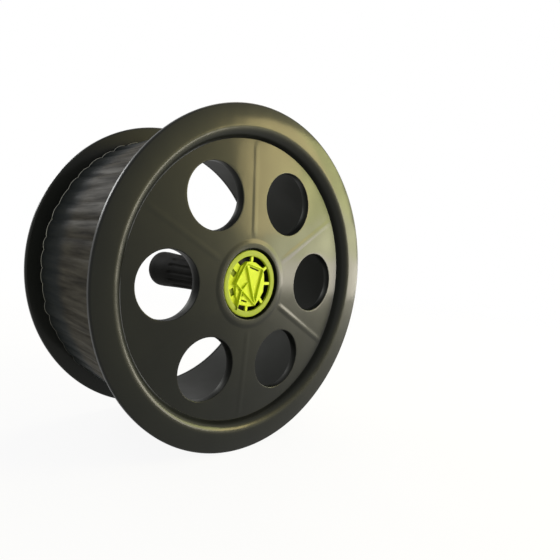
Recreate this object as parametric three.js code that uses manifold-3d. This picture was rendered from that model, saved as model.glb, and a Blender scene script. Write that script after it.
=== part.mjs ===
// Hand-held wire reel, 9 inch: a hollow drum between two flanges that turns on two ball bearings
// round a fixed hand grip. Millimetres, +Z up. The reel's axis is the Y axis, its front looks
// towards -Y, and the origin lies on the axis at mid-width. It stands on its two rims.
import * as THREE from 'three';
import { mergeVertices } from 'three/addons/utils/BufferGeometryUtils.js';
import Module from 'manifold-3d';

const wasm = await Module();
wasm.setup();

// ---- Driving dimensions: reel body --------------------------------------------------------------
const REEL_WIDTH = 115;          // over the lips of the two flanges
const DRUM_RADIUS = 101;         // outside of the barrel
const WINDING_DEPTH = 13.3;      // from the barrel out to the rims of both flanges
const BAND_THICKNESS = 4.6;      // outer band of a flange, rounded at its rim
const CREST_INSET = 5.8;         // crest of the band, in from its rim
const CREST_FLAT = 1.6;          // flat ring on the crest, which the reel can lie on
const BAND_CROWN = 0.7;          // how far the band falls from its crest to its rim
const LIP_FALL = 0.45;           // and how far from its crest to its lip
const LIP_ROUND = 8;             // rounding of the front lip into the recess
const REAR_LIP_ROUND = 1.6;      // rounding of the rear lip into the bore
const BARREL_WALL = 2.2;
const SEAT_DEPTH = 2;            // how deep the barrel's rear end sits in the rear flange
const SLEEVE_WALL = 0.7;         // fluted liner at the bottom of a flute
const FLUTE_DEPTH = 1;
const FLUTE_COUNT = 54;
const FLUTE_PROFILE = [0, 0.6, 1, 0.6]; // heights round one flute, as shares of its depth

// ---- Driving dimensions: front web --------------------------------------------------------------
const RECESS_DEPTH = 6.8;        // from the crest down to the web's outer edge
const RECESS_WALL = 4;           // wall round the web at its foot
const WALL_ANGLE = 20;            // degrees that this wall leans outwards
const WEB_THICKNESS = 3;
const WEB_RISE = 4.2;            // the web is a shallow cone: its middle stands this far forward
const WEB_FILLET = 0.8;
const HOLE_COUNT = 6;
const HOLE_CIRCLE_RADIUS = 63.4;
const HOLE_RADIUS = 21.3;
const HOLE_COLLAR_WALL = 2;      // turned-back rim round each hole, behind the web
const HOLE_COLLAR_DEPTH = 6.4;   // from the web's front to the end of that rim
const HOLE_EDGE_ROUND = 0.8;
const RIDGE_WIDTH = 6;           // radial creases between the holes, raised along their middle
const RIDGE_HEIGHT = 0.4;

// ---- Driving dimensions: hub --------------------------------------------------------------------
const HUB_RADIUS = 23.8;         // bore of the hub boss
const HUB_WALL = 3.4;
const COLLAR_RISE = 0.9;         // collar round the hub opening, proud of the web
const COLLAR_ROUND = 0.8;
const HUB_LIP = 2.7;             // inward lip at the boss's rear end, which stops the carrier
const CARRIER_FLANGE = 5.5;      // thickness of the bearing carrier's flange
const CARRIER_RADIUS = 15;       // its tubular body
const SHOULDER_LENGTH = 5.4;     // between the two bearings
const SHOULDER_HEIGHT = 1.7;
const BEARING_INSET = 2.5;       // front bearing behind the carrier flange's front face
const CARRIER_OVERHANG = 0.8;    // carrier past the rear bearing
const CLIP_THICKNESS = 1;        // retaining ring in front of the carrier
const CLIP_WIDTH = 2.6;
const CLIP_GROOVE = 0.9;
const CLIP_OPENING = 28;         // degrees left open between its ends
const CLIP_STEPS = 28;

// ---- Driving dimensions: deep-groove ball bearings, 8 x 22 x 7 ----------------------------------
const BEARING_BORE_RADIUS = 4;
const BEARING_OUTER_RADIUS = 11;
const BEARING_WIDTH = 7;
const PITCH_RADIUS = 7.5;
const BALL_RADIUS = 1.985;
const BALL_COUNT = 7;
const INNER_SHOULDER = 6.05;
const OUTER_SHOULDER = 9.25;
const RACE_CLEARANCE = 0.2;
const CAGE_WIDTH = 1.2;
const CAGE_RIM = 0.85;
const CAGE_FINGER = 1.8;         // finger between two balls, measured round the bearing
const CAGE_FINGER_REACH = 1.5;   // how far the fingers go past the balls' middle
const CAGE_FINGER_INSET = 0.06;  // a finger is this much thinner than the cage's rim, each side

// ---- Driving dimensions: spindle and handle -----------------------------------------------------
const BOLT_RADIUS = 3.9;
const BOLT_HEAD_HEIGHT = 5;
const BOLT_CHAMFER = 1;
const HEX_ACROSS_FLATS = 13;
const WASHER_RADIUS = 8;
const WASHER_THICKNESS = 1.6;
const NUT_HEIGHT = 8;
const THREAD_PROUD = 2;          // bolt past the nut
const CORE_RADIUS = 9.5;
const CORE_BORE_RADIUS = 4.4;
const NUT_POCKET_RADIUS = 8.4;
const NUT_POCKET_DEPTH = 17;
const GRIP_FRONT_STEP = 2.8;     // bare core in front of the grip
const GRIP_GUARD_RADIUS = 15;    // collar at the front end of the grip
const GRIP_WAIST_RADIUS = 12.1;
const GRIP_END_RADIUS = 14.3;
const GRIP_GUARD_LENGTH = 4;
const GRIP_GUARD_CHAMFER = 1;
const GRIP_FLARE = 9;            // length over which the guard runs down to the waist
const GRIP_FLARE_FOOT = 0.6;     // height over the waist that is left half way down the flare
const GRIP_BELLY = 0.7;          // height gained from the waist half way to the end
const GRIP_END_ROUND = 2.4;
const GRIP_END_LENGTH = 4.8;     // straight part in front of that rounding
const GRIP_GROOVES = 14;         // grooves along the front half of the grip
const GRIP_GROOVE_RADIUS = 0.9;
const GRIP_GROOVE_LENGTH = 34;
const END_CAP_THICKNESS = 2;
const END_CAP_PLUG = 4;
const END_CAP_WALL = 1.6;
const END_CAP_RECESS = 0.5;      // cap face below the grip's end

// ---- Driving dimensions: hub cap ----------------------------------------------------------------
const CAP_GAP = 1.6;             // dark ring between cap and collar
const CAP_RECESS = 2.2;          // cap ring below the collar's crest
const CAP_RING_WIDTH = 4;
const CAP_RING_THICKNESS = 2.2;
const CAP_CHAMFER = 0.5;
const CAP_DEPTH = 6.4;           // ring front to the end of the skirt
const CAP_SKIRT_WALL = 1.8;
const CAP_SPOKE_ANGLES = [87, 38, 0, -46, -95]; // degrees from the right, as seen from the front
const CAP_SPOKE_WIDTH = 1.9;
const CAP_PLATE_SIDES = 8;
const CAP_PLATE_ANGLE = 15;       // degrees from the right to its first corner
const CAP_PLATE_APOTHEM = 14.2;  // flat side of the plate inside the ring
const CAP_PLATE_DROP = 0.4;      // plate below the ring's front
const CAP_PLATE_THICKNESS = 1.6;
const CAP_PANEL_DROP = 1.2;      // panel that closes the windows at the left
const CAP_PANEL_ANGLES = [129, 240];
const CAP_RIB_HEIGHT = 1.5;      // crest of the ribs above the ring's front
const CAP_RIB_FOOT = 2.6;        // width of a rib at its foot
const CAP_RIB_CREST = 0.9;       // and at its crest
const CAP_RIB_TIPS = {           // where the ribs meet, as seen from the front: right, up
  top: [-5.2, 14.4],
  right: [9.9, 10.1],
  bottom: [4.7, -14.4],
  left: [-12.5, 0.9],
  fork: [-8.1, -4.9],
  foot: [-11, -16.2],
  stem: [-3.2, 0.8],
};
const CAP_RIBS = [
  ['top', 'right'], ['right', 'bottom'], ['bottom', 'left'], ['left', 'top'],
  ['top', 'bottom'], ['fork', 'foot'], ['fork', 'stem'],
];
const CAP_SLOTS = [[[-1.4, 12.3], [7.4, 8.4]], [[-6.6, -10.8], [-1.6, -12.2]]]; // through the plate
const CAP_SLOT_WIDTH = 1.1;

// ---- Shared clearances and facets ---------------------------------------------------------------
const FIT = 0.3;                 // between pieces that seat on each other
const RUN = 0.4;                 // between pieces that turn past each other
const OVERSHOOT = 1;             // how far a cutter reaches past what it cuts
const ROUND_INSET = 1 - Math.SQRT1_2; // middle of a quarter circle, off its corner, per radius
const RIM_FACETS = 60;           // a multiple of four, with a flat facet at the bottom
const BOSS_FACETS = 36;
const HOLE_FACETS = 20;
const CAP_FACETS = 36;
const HUB_FACETS = 20;
const RIM_STEPS = 4;             // facets round a rounded rim
const LIP_STEPS = 3;             // facets across the front lip's rounding
const REAR_LIP_STEPS = 2;
const FILLET_STEPS = 1;
const RACE_STEPS = 3;            // facets across a raceway
const TIP_FACETS = 10;
const GROOVE_FACETS = 6;
const BALL_FACETS = 8;
const BALL_RINGS = 6;

// ---- Stations along the axis, all worked out from the sizes above -------------------------------
const flangeRadius = DRUM_RADIUS + WINDING_DEPTH;
const crestRadius = flangeRadius - CREST_INSET;
const lipY = -REEL_WIDTH / 2;
const bandBackY = lipY + BAND_THICKNESS;
const boreRadius = DRUM_RADIUS - BARREL_WALL;
const spigotRadius = boreRadius - FIT;
const webRadius = spigotRadius - RECESS_WALL - WEB_FILLET; // where the cone meets its fillet
const wallLean = THREE.MathUtils.degToRad(WALL_ANGLE);
const wallHeight = RECESS_DEPTH - LIP_FALL - (LIP_ROUND + WEB_FILLET) * (1 - Math.sin(wallLean));
const frontLipRadius = webRadius + (LIP_ROUND + WEB_FILLET) * Math.cos(wallLean)
  + wallHeight * Math.tan(wallLean);
const collarRadius = HUB_RADIUS + HUB_WALL;
const webY = radius => lipY + RECESS_DEPTH
  - WEB_RISE * (webRadius - radius) / (webRadius - collarRadius);
const collarY = webY(collarRadius) - COLLAR_RISE;
const capY = collarY + CAP_RECESS;
const clipY = capY + CAP_DEPTH + RUN;
const carrierY = clipY + CLIP_THICKNESS + FIT;
const hubLipY = carrierY + CARRIER_FLANGE + FIT;
const frontBearingY = carrierY + BEARING_INSET;
const shoulderY = frontBearingY + BEARING_WIDTH + FIT;
const rearBearingY = shoulderY + SHOULDER_LENGTH + FIT;
const carrierEndY = rearBearingY + BEARING_WIDTH + CARRIER_OVERHANG;
const headWasherY = frontBearingY - FIT - WASHER_THICKNESS;
const boltHeadY = headWasherY - FIT - BOLT_HEAD_HEIGHT;
const handleWasherY = rearBearingY + BEARING_WIDTH + FIT;
const coreY = handleWasherY + WASHER_THICKNESS + FIT;
const gripY = coreY + GRIP_FRONT_STEP;
const gripEndY = REEL_WIDTH / 2;
const endCapY = gripEndY - END_CAP_RECESS - END_CAP_THICKNESS;
const coreEndY = endCapY - FIT;
const nutPocketY = coreEndY - NUT_POCKET_DEPTH;
const nutWasherY = nutPocketY + FIT;
const nutY = nutWasherY + WASHER_THICKNESS + FIT;
const boltEndY = nutY + NUT_HEIGHT + THREAD_PROUD;

// ---- Finishes -----------------------------------------------------------------------------------
const FINISHES = {
  moulding: { color: 0x2b2b28, roughness: 0.42, metalness: 0 },
  liner: { color: 0x3a3a3a, roughness: 0.35, metalness: 0 },
  lime: { color: 0xb9dc1e, roughness: 0.45, metalness: 0 },
  carrier: { color: 0x1e1e1f, roughness: 0.55, metalness: 0 },
  zinc: { color: 0xb4b6b4, roughness: 0.35, metalness: 1 },
  bearing: { color: 0xc4c6c8, roughness: 0.18, metalness: 1 },
  rubber: { color: 0x222221, roughness: 0.75, metalness: 0 },
};

function piece(name, geometry, finish) {
  const mesh = new THREE.Mesh(geometry, new THREE.MeshStandardMaterial(FINISHES[finish]));
  mesh.name = name;
  return mesh;
}

// ---- Solid modelling helpers --------------------------------------------------------------------
const polar = (radius, degrees) => new THREE.Vector2(
  radius * Math.cos(THREE.MathUtils.degToRad(degrees)),
  radius * Math.sin(THREE.MathUtils.degToRad(degrees)),
);

// Revolves a closed outline of [radius, y] points about the Y axis, with a flat facet at each
// of the four quadrants. The outline runs with its material on the left.
function revolve(outline, facets) {
  const points = [...outline, outline[0]].map(([radius, y]) => new THREE.Vector2(radius, y));
  return new THREE.LatheGeometry(points, facets, Math.PI / facets);
}

function tube(innerRadius, outerRadius, startY, endY, facets) {
  const outline = [
    [innerRadius, startY], [outerRadius, startY], [outerRadius, endY], [innerRadius, endY],
  ];
  return revolve(outline, facets);
}

// Extrudes a flat shape along Y, from startY to endY. The shape's x stays x and its y becomes z.
function prism(shape, startY, endY) {
  const geometry = new THREE.ExtrudeGeometry(shape, { depth: endY - startY, bevelEnabled: false });
  return geometry.rotateX(Math.PI / 2).translate(0, endY, 0);
}

function polygon(points) {
  const shape = new THREE.Shape(points);
  shape.closePath();
  return shape;
}

function regularPolygon(radius, sides, firstDegrees) {
  return Array.from({ length: sides }, (_, k) => polar(radius, firstDegrees + k * 360 / sides));
}

function toSolid(geometry) {
  const bare = geometry.index ? geometry.toNonIndexed() : geometry.clone();
  bare.deleteAttribute('normal');
  bare.deleteAttribute('uv');
  const merged = mergeVertices(bare, 1e-5);
  return new wasm.Manifold(new wasm.Mesh({
    numProp: 3,
    vertProperties: new Float32Array(merged.attributes.position.array),
    triVerts: new Uint32Array(merged.index.array),
  }));
}

function toGeometry(solid) {
  const mesh = solid.getMesh();
  const geometry = new THREE.BufferGeometry();
  geometry.setAttribute('position', new THREE.BufferAttribute(mesh.vertProperties, 3));
  geometry.setIndex(new THREE.BufferAttribute(mesh.triVerts, 1));
  return geometry;
}

const join = geometries => geometries.map(toSolid).reduce((whole, part) => whole.add(part));

// ---- Flanges ------------------------------------------------------------------------------------
// Arc in a section, as [radius, y] points. Its angles run from the outward direction towards +y.
function arc([radius, y], size, fromDegrees, toDegrees, steps) {
  return Array.from({ length: steps + 1 }, (_, k) => {
    const point = polar(size, fromDegrees + (toDegrees - fromDegrees) * k / steps);
    return [radius + point.x, y + point.y];
  });
}

// The outer band in section, from the foot of its lip over the crest and round the rim to its
// inner face, with y measured from the crest towards the winding space. The lip's rounding
// starts at the angle at which the wall below it leans.
function bandSection(lipRadius, lipRound, lean, steps) {
  const rimRadius = (BAND_THICKNESS - BAND_CROWN) / 2;
  return [
    ...arc([lipRadius, LIP_FALL + lipRound], lipRound, 180 + lean, 270, steps),
    [crestRadius - CREST_FLAT / 2, 0],
    [crestRadius + CREST_FLAT / 2, 0],
    ...arc([flangeRadius - rimRadius, BAND_THICKNESS - rimRadius], rimRadius, -90, 90, RIM_STEPS),
  ];
}

// Shallow cone with the recess wall and the outer band round it.
function coneAndBand() {
  const rootRadius = (HUB_RADIUS + collarRadius) / 2;
  const webBack = radius => webY(radius) + WEB_THICKNESS;
  const band = bandSection(frontLipRadius, LIP_ROUND, WALL_ANGLE, LIP_STEPS);
  return revolve([
    [rootRadius, webY(rootRadius)],
    ...arc([webRadius, webY(webRadius) - WEB_FILLET], WEB_FILLET, 90, WALL_ANGLE, FILLET_STEPS),
    ...band.map(([radius, y]) => [radius, lipY + y]),
    [spigotRadius, bandBackY],
    [spigotRadius, webBack(spigotRadius)],
    [rootRadius, webBack(rootRadius)],
  ], RIM_FACETS);
}

// Collar round the hub opening, and the boss behind it with the clip's groove and the rear lip.
function hubBoss() {
  const bossEndY = hubLipY + HUB_LIP;
  const grooveRadius = HUB_RADIUS + CLIP_GROOVE;
  const grooveStartY = clipY - FIT;
  const grooveEndY = clipY + CLIP_THICKNESS + FIT;
  const footRadius = collarRadius + COLLAR_RISE; // the collar's slope ends sunk in the web
  return revolve([
    [HUB_RADIUS, collarY + COLLAR_ROUND],
    [HUB_RADIUS + COLLAR_ROUND, collarY],
    [collarRadius - COLLAR_ROUND, collarY],
    [footRadius, webY(footRadius) + COLLAR_RISE / 2],
    [collarRadius, webY(collarRadius) + WEB_THICKNESS / 2],
    [collarRadius, bossEndY],
    [CARRIER_RADIUS + FIT, bossEndY],
    [CARRIER_RADIUS + FIT, hubLipY],
    [HUB_RADIUS, hubLipY],
    [HUB_RADIUS, grooveEndY],
    [grooveRadius, grooveEndY],
    [grooveRadius, grooveStartY],
    [HUB_RADIUS, grooveStartY],
  ], BOSS_FACETS);
}

function holeCentre(k) {
  return polar(HOLE_CIRCLE_RADIUS, k * 360 / HOLE_COUNT);
}

// Turned-back rim behind the web, round one hole.
function holeCollar(centre) {
  const frontY = webY(HOLE_CIRCLE_RADIUS) + WEB_THICKNESS / 2;
  const backY = webY(HOLE_CIRCLE_RADIUS) + HOLE_COLLAR_DEPTH;
  const collar = tube(HOLE_RADIUS - FIT, HOLE_RADIUS + HOLE_COLLAR_WALL, frontY, backY, HOLE_FACETS);
  return collar.translate(centre.x, 0, centre.y);
}

// Cutter for one hole: a cylinder that opens out at the front as the edge's rounding does.
function holeCutter(centre) {
  const edgeY = webY(HOLE_CIRCLE_RADIUS);
  const mouthY = lipY - OVERSHOOT;
  const backY = edgeY + HOLE_COLLAR_DEPTH + OVERSHOOT;
  const mouthRadius = HOLE_RADIUS + HOLE_EDGE_ROUND;
  const spread = mouthRadius + HOLE_EDGE_ROUND;
  const cutter = revolve([
    [0, mouthY], [spread, mouthY], [mouthRadius, edgeY - HOLE_EDGE_ROUND / 2],
    [HOLE_RADIUS, edgeY + HOLE_EDGE_ROUND], [HOLE_RADIUS, backY], [0, backY],
  ], HOLE_FACETS);
  return cutter.translate(centre.x, 0, centre.y);
}

// Low ridge that runs up the cone from the recess to the hub collar, half sunk in the web.
function webRidge(k) {
  const start = collarRadius;
  const end = webRadius;
  const length = end - start;
  const slope = Math.atan2(webY(end) - webY(start), length);
  const section = polygon([
    new THREE.Vector2(-RIDGE_WIDTH / 2, WEB_THICKNESS / 3),
    new THREE.Vector2(-RIDGE_WIDTH / 2, 0),
    new THREE.Vector2(0, -RIDGE_HEIGHT),
    new THREE.Vector2(RIDGE_WIDTH / 2, 0),
    new THREE.Vector2(RIDGE_WIDTH / 2, WEB_THICKNESS / 3),
  ]);
  const ridge = new THREE.ExtrudeGeometry(section, {
    depth: length / Math.cos(slope), bevelEnabled: false,
  });
  ridge.rotateX(-slope).translate(0, webY(start), start);
  return ridge.rotateY((k + 0.5) * 2 * Math.PI / HOLE_COUNT + Math.PI / 2);
}

function frontFlange() {
  const copies = Array.from({ length: HOLE_COUNT }, (_, k) => k);
  const body = join([
    coneAndBand(),
    hubBoss(),
    ...copies.map(k => holeCollar(holeCentre(k))),
    ...copies.map(webRidge),
  ]);
  const holes = join(copies.map(k => holeCutter(holeCentre(k))));
  return piece('front_flange', toGeometry(body.subtract(holes)), 'moulding');
}

// Plain ring: the back of the drum is open, and the barrel's end sits in a step of its bore.
function rearFlange() {
  const seatY = -bandBackY + SEAT_DEPTH;
  const band = bandSection(boreRadius + REAR_LIP_ROUND, REAR_LIP_ROUND, 0, REAR_LIP_STEPS);
  const section = [
    ...band.map(([radius, y]) => [radius, -lipY - y]),
    [DRUM_RADIUS + FIT, -bandBackY],
    [DRUM_RADIUS + FIT, seatY],
    [boreRadius, seatY],
  ];
  return piece('rear_flange', revolve(section.reverse(), RIM_FACETS), 'moulding');
}

// ---- Drum ---------------------------------------------------------------------------------------
function drumBarrel() {
  const startY = bandBackY + FIT;
  const endY = -bandBackY + SEAT_DEPTH - FIT;
  return piece('drum_barrel', tube(boreRadius, DRUM_RADIUS, startY, endY, RIM_FACETS), 'moulding');
}

// Thin liner round the barrel, pleated all round into rounded flutes.
function flutedLiner() {
  const innerRadius = DRUM_RADIUS + FIT;
  const points = FLUTE_COUNT * FLUTE_PROFILE.length;
  const outline = Array.from({ length: points }, (_, k) => {
    const height = FLUTE_DEPTH * FLUTE_PROFILE[k % FLUTE_PROFILE.length];
    return polar(innerRadius + SLEEVE_WALL + height, k * 360 / points);
  });
  const shape = polygon(outline);
  shape.holes.push(new THREE.Path(regularPolygon(innerRadius, RIM_FACETS, 180 / RIM_FACETS)));
  return piece('fluted_liner', prism(shape, bandBackY + FIT, -bandBackY - FIT), 'liner');
}

// ---- Hub ----------------------------------------------------------------------------------------
// Cup with one seat for each bearing and a shoulder between their outer rings.
function bearingCarrier() {
  const cupRadius = HUB_RADIUS - FIT;
  const seatRadius = BEARING_OUTER_RADIUS + FIT;
  const shoulderRadius = seatRadius - SHOULDER_HEIGHT;
  return piece('bearing_carrier', revolve([
    [seatRadius, carrierY],
    [cupRadius, carrierY],
    [cupRadius, carrierY + CARRIER_FLANGE],
    [CARRIER_RADIUS, carrierY + CARRIER_FLANGE],
    [CARRIER_RADIUS, carrierEndY],
    [seatRadius, carrierEndY],
    [seatRadius, shoulderY + SHOULDER_LENGTH],
    [shoulderRadius, shoulderY + SHOULDER_LENGTH],
    [shoulderRadius, shoulderY],
    [seatRadius, shoulderY],
  ], HUB_FACETS), 'carrier');
}

// Open spring ring in the boss's groove.
function retainingClip() {
  const outer = HUB_RADIUS + CLIP_GROOVE - FIT;
  const inner = outer - CLIP_WIDTH;
  const first = 90 + CLIP_OPENING / 2;
  const step = (360 - CLIP_OPENING) / CLIP_STEPS;
  const angles = Array.from({ length: CLIP_STEPS + 1 }, (_, k) => first + k * step);
  const outline = [
    ...angles.map(degrees => polar(outer, degrees)),
    ...angles.reverse().map(degrees => polar(inner, degrees)),
  ];
  return piece('retaining_clip', prism(polygon(outline), clipY, clipY + CLIP_THICKNESS), 'zinc');
}

// Groove of one raceway: an arc round the ball's centre, from shoulder to shoulder.
function raceway(shoulder) {
  const radius = BALL_RADIUS + RACE_CLEARANCE;
  const side = Math.sign(shoulder - PITCH_RADIUS);
  const reach = Math.acos(Math.abs(shoulder - PITCH_RADIUS) / radius);
  return Array.from({ length: RACE_STEPS + 1 }, (_, k) => {
    const turn = reach * (2 * k / RACE_STEPS - 1);
    return [PITCH_RADIUS + side * radius * Math.cos(turn), BEARING_WIDTH / 2 + radius * Math.sin(turn)];
  });
}

function ballCage(name) {
  const innerRadius = PITCH_RADIUS - CAGE_WIDTH / 2;
  const outerRadius = PITCH_RADIUS + CAGE_WIDTH / 2;
  const rimY = BEARING_WIDTH / 2 + BALL_RADIUS + RACE_CLEARANCE;
  const fingerY = BEARING_WIDTH / 2 - CAGE_FINGER_REACH;
  const fingerEndY = rimY + CAGE_RIM / 2;
  const fingerWidth = CAGE_WIDTH - 2 * CAGE_FINGER_INSET;
  const fingers = Array.from({ length: BALL_COUNT }, (_, k) => {
    const finger = new THREE.BoxGeometry(fingerWidth, fingerEndY - fingerY, CAGE_FINGER);
    finger.translate(PITCH_RADIUS, (fingerEndY + fingerY) / 2, 0);
    return finger.rotateY((k + 0.5) * 2 * Math.PI / BALL_COUNT);
  });
  const rim = tube(innerRadius, outerRadius, rimY, rimY + CAGE_RIM, HUB_FACETS);
  return piece(name, toGeometry(join([rim, ...fingers])), 'bearing');
}

// One bearing with its front face at startY: two rings, a cage and its balls.
function ballBearing(prefix, startY) {
  const group = new THREE.Group();
  group.position.y = startY;
  const bore = BEARING_BORE_RADIUS;
  group.add(piece(`${prefix}_outer_ring`, revolve([
    [OUTER_SHOULDER, 0],
    [BEARING_OUTER_RADIUS, 0],
    [BEARING_OUTER_RADIUS, BEARING_WIDTH],
    [OUTER_SHOULDER, BEARING_WIDTH],
    ...raceway(OUTER_SHOULDER).reverse(),
  ], HUB_FACETS), 'bearing'));
  group.add(piece(`${prefix}_inner_ring`, revolve([
    [bore, 0],
    [INNER_SHOULDER, 0],
    ...raceway(INNER_SHOULDER),
    [INNER_SHOULDER, BEARING_WIDTH],
    [bore, BEARING_WIDTH],
  ], HUB_FACETS), 'bearing'));
  group.add(ballCage(`${prefix}_cage`));
  for (let k = 0; k < BALL_COUNT; k += 1) {
    const sphere = new THREE.SphereGeometry(BALL_RADIUS, BALL_FACETS, BALL_RINGS);
    const ball = piece(`${prefix}_ball_${k + 1}`, sphere, 'bearing');
    const place = polar(PITCH_RADIUS, k * 360 / BALL_COUNT);
    ball.position.set(place.x, BEARING_WIDTH / 2, place.y);
    group.add(ball);
  }
  return group;
}

// Keeps the inner rings as far apart as the carrier's shoulder keeps the outer rings.
function bearingSpacer() {
  const startY = frontBearingY + BEARING_WIDTH + FIT;
  const endY = rearBearingY - FIT;
  const inner = BEARING_BORE_RADIUS;
  return piece('bearing_spacer', tube(inner, INNER_SHOULDER, startY, endY, HUB_FACETS), 'zinc');
}

// ---- Spindle and handle -------------------------------------------------------------------------
const hexagon = () => regularPolygon(HEX_ACROSS_FLATS / Math.sqrt(3), 6, 0);

function spindleBolt() {
  const head = prism(polygon(hexagon()), boltHeadY, boltHeadY + BOLT_HEAD_HEIGHT);
  const shank = revolve([
    [0, boltHeadY + BOLT_HEAD_HEIGHT / 2],
    [BOLT_RADIUS, boltHeadY + BOLT_HEAD_HEIGHT / 2],
    [BOLT_RADIUS, boltEndY - BOLT_CHAMFER],
    [BOLT_RADIUS - BOLT_CHAMFER, boltEndY],
    [0, boltEndY],
  ], HUB_FACETS);
  return piece('spindle_bolt', toGeometry(join([head, shank])), 'zinc');
}

function washer(name, startY) {
  const bore = BEARING_BORE_RADIUS + RACE_CLEARANCE;
  return piece(name, tube(bore, WASHER_RADIUS, startY, startY + WASHER_THICKNESS, HUB_FACETS), 'zinc');
}

function lockNut() {
  const shape = polygon(hexagon());
  shape.holes.push(new THREE.Path(regularPolygon(BEARING_BORE_RADIUS + RACE_CLEARANCE, HUB_FACETS, 0)));
  return piece('lock_nut', prism(shape, nutY, nutY + NUT_HEIGHT), 'zinc');
}

// Rigid tube that the bolt clamps against the inner rings; the nut sits in its rear pocket.
function handleCore() {
  return piece('handle_core', revolve([
    [CORE_BORE_RADIUS, coreY],
    [CORE_RADIUS, coreY],
    [CORE_RADIUS, coreEndY],
    [NUT_POCKET_RADIUS, coreEndY],
    [NUT_POCKET_RADIUS, nutPocketY],
    [CORE_BORE_RADIUS, nutPocketY],
  ], HUB_FACETS), 'carrier');
}

// Rubber grip: a guard collar in front, a waist, and a swelling towards the rear end.
function handleGrip() {
  const innerRadius = CORE_RADIUS + FIT;
  const waistY = gripY + GRIP_GUARD_LENGTH + GRIP_FLARE;
  const endRoundY = gripEndY - GRIP_END_ROUND;
  const bellyY = endRoundY - GRIP_END_LENGTH;
  const inset = ROUND_INSET * GRIP_END_ROUND;
  const body = revolve([
    [innerRadius, gripY],
    [GRIP_GUARD_RADIUS - GRIP_GUARD_CHAMFER, gripY],
    [GRIP_GUARD_RADIUS, gripY + GRIP_GUARD_CHAMFER],
    [GRIP_GUARD_RADIUS, gripY + GRIP_GUARD_LENGTH],
    [GRIP_WAIST_RADIUS + GRIP_FLARE_FOOT, waistY - GRIP_FLARE / 2],
    [GRIP_WAIST_RADIUS, waistY],
    [GRIP_WAIST_RADIUS + GRIP_BELLY, (waistY + bellyY) / 2],
    [GRIP_END_RADIUS, bellyY],
    [GRIP_END_RADIUS, endRoundY],
    [GRIP_END_RADIUS - inset, gripEndY - inset],
    [GRIP_END_RADIUS - GRIP_END_ROUND, gripEndY],
    [innerRadius, gripEndY],
  ], 2 * GRIP_GROOVES);
  const grooves = Array.from({ length: GRIP_GROOVES }, (_, k) => {
    const groove = new THREE.CylinderGeometry(
      GRIP_GROOVE_RADIUS, GRIP_GROOVE_RADIUS, GRIP_GROOVE_LENGTH, GROOVE_FACETS,
    );
    const place = polar(GRIP_WAIST_RADIUS + GRIP_GROOVE_RADIUS / 2, k * 360 / GRIP_GROOVES);
    return groove.translate(place.x, waistY + GRIP_GROOVE_LENGTH / 2, place.y);
  });
  return piece('handle_grip', toGeometry(toSolid(body).subtract(join(grooves))), 'rubber');
}

// Disc that closes the handle, with a ring behind it that plugs into the nut pocket.
function handleEndCap() {
  const plugRadius = NUT_POCKET_RADIUS - FIT;
  return piece('handle_end_cap', revolve([
    [0, endCapY],
    [plugRadius - END_CAP_WALL, endCapY],
    [plugRadius - END_CAP_WALL, endCapY - END_CAP_PLUG],
    [plugRadius, endCapY - END_CAP_PLUG],
    [plugRadius, endCapY],
    [CORE_RADIUS, endCapY],
    [CORE_RADIUS, endCapY + END_CAP_THICKNESS],
    [0, endCapY + END_CAP_THICKNESS],
  ], HUB_FACETS), 'carrier');
}

// ---- Hub cap ------------------------------------------------------------------------------------
// Runs a bar of a given section from one point of the cap's face to another. The section's x
// lies across the bar and its y along the reel's axis.
function bar(section, from, to) {
  const run = to.clone().sub(from);
  const geometry = new THREE.ExtrudeGeometry(section, { depth: run.length(), bevelEnabled: false });
  return geometry.rotateY(Math.PI / 2 - run.angle()).translate(from.x, 0, from.y);
}

// Raised ribs with sloping sides, and a blunt cone where their ends meet.
function capRibs() {
  const footY = capY + CAP_PLATE_DROP + CAP_PLATE_THICKNESS / 2;
  const crestY = capY - CAP_RIB_HEIGHT;
  const section = polygon([
    new THREE.Vector2(-CAP_RIB_FOOT / 2, footY),
    new THREE.Vector2(-CAP_RIB_CREST / 2, crestY),
    new THREE.Vector2(CAP_RIB_CREST / 2, crestY),
    new THREE.Vector2(CAP_RIB_FOOT / 2, footY),
  ]);
  const tip = name => new THREE.Vector2(...CAP_RIB_TIPS[name]);
  const bars = CAP_RIBS.map(([from, to]) => bar(section, tip(from), tip(to)));
  const cones = Object.keys(CAP_RIB_TIPS).map(name => revolve([
    [0, crestY], [CAP_RIB_CREST / 2, crestY], [CAP_RIB_FOOT / 2, footY], [0, footY],
  ], TIP_FACETS).translate(tip(name).x, 0, tip(name).y));
  return [...bars, ...cones];
}

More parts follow.
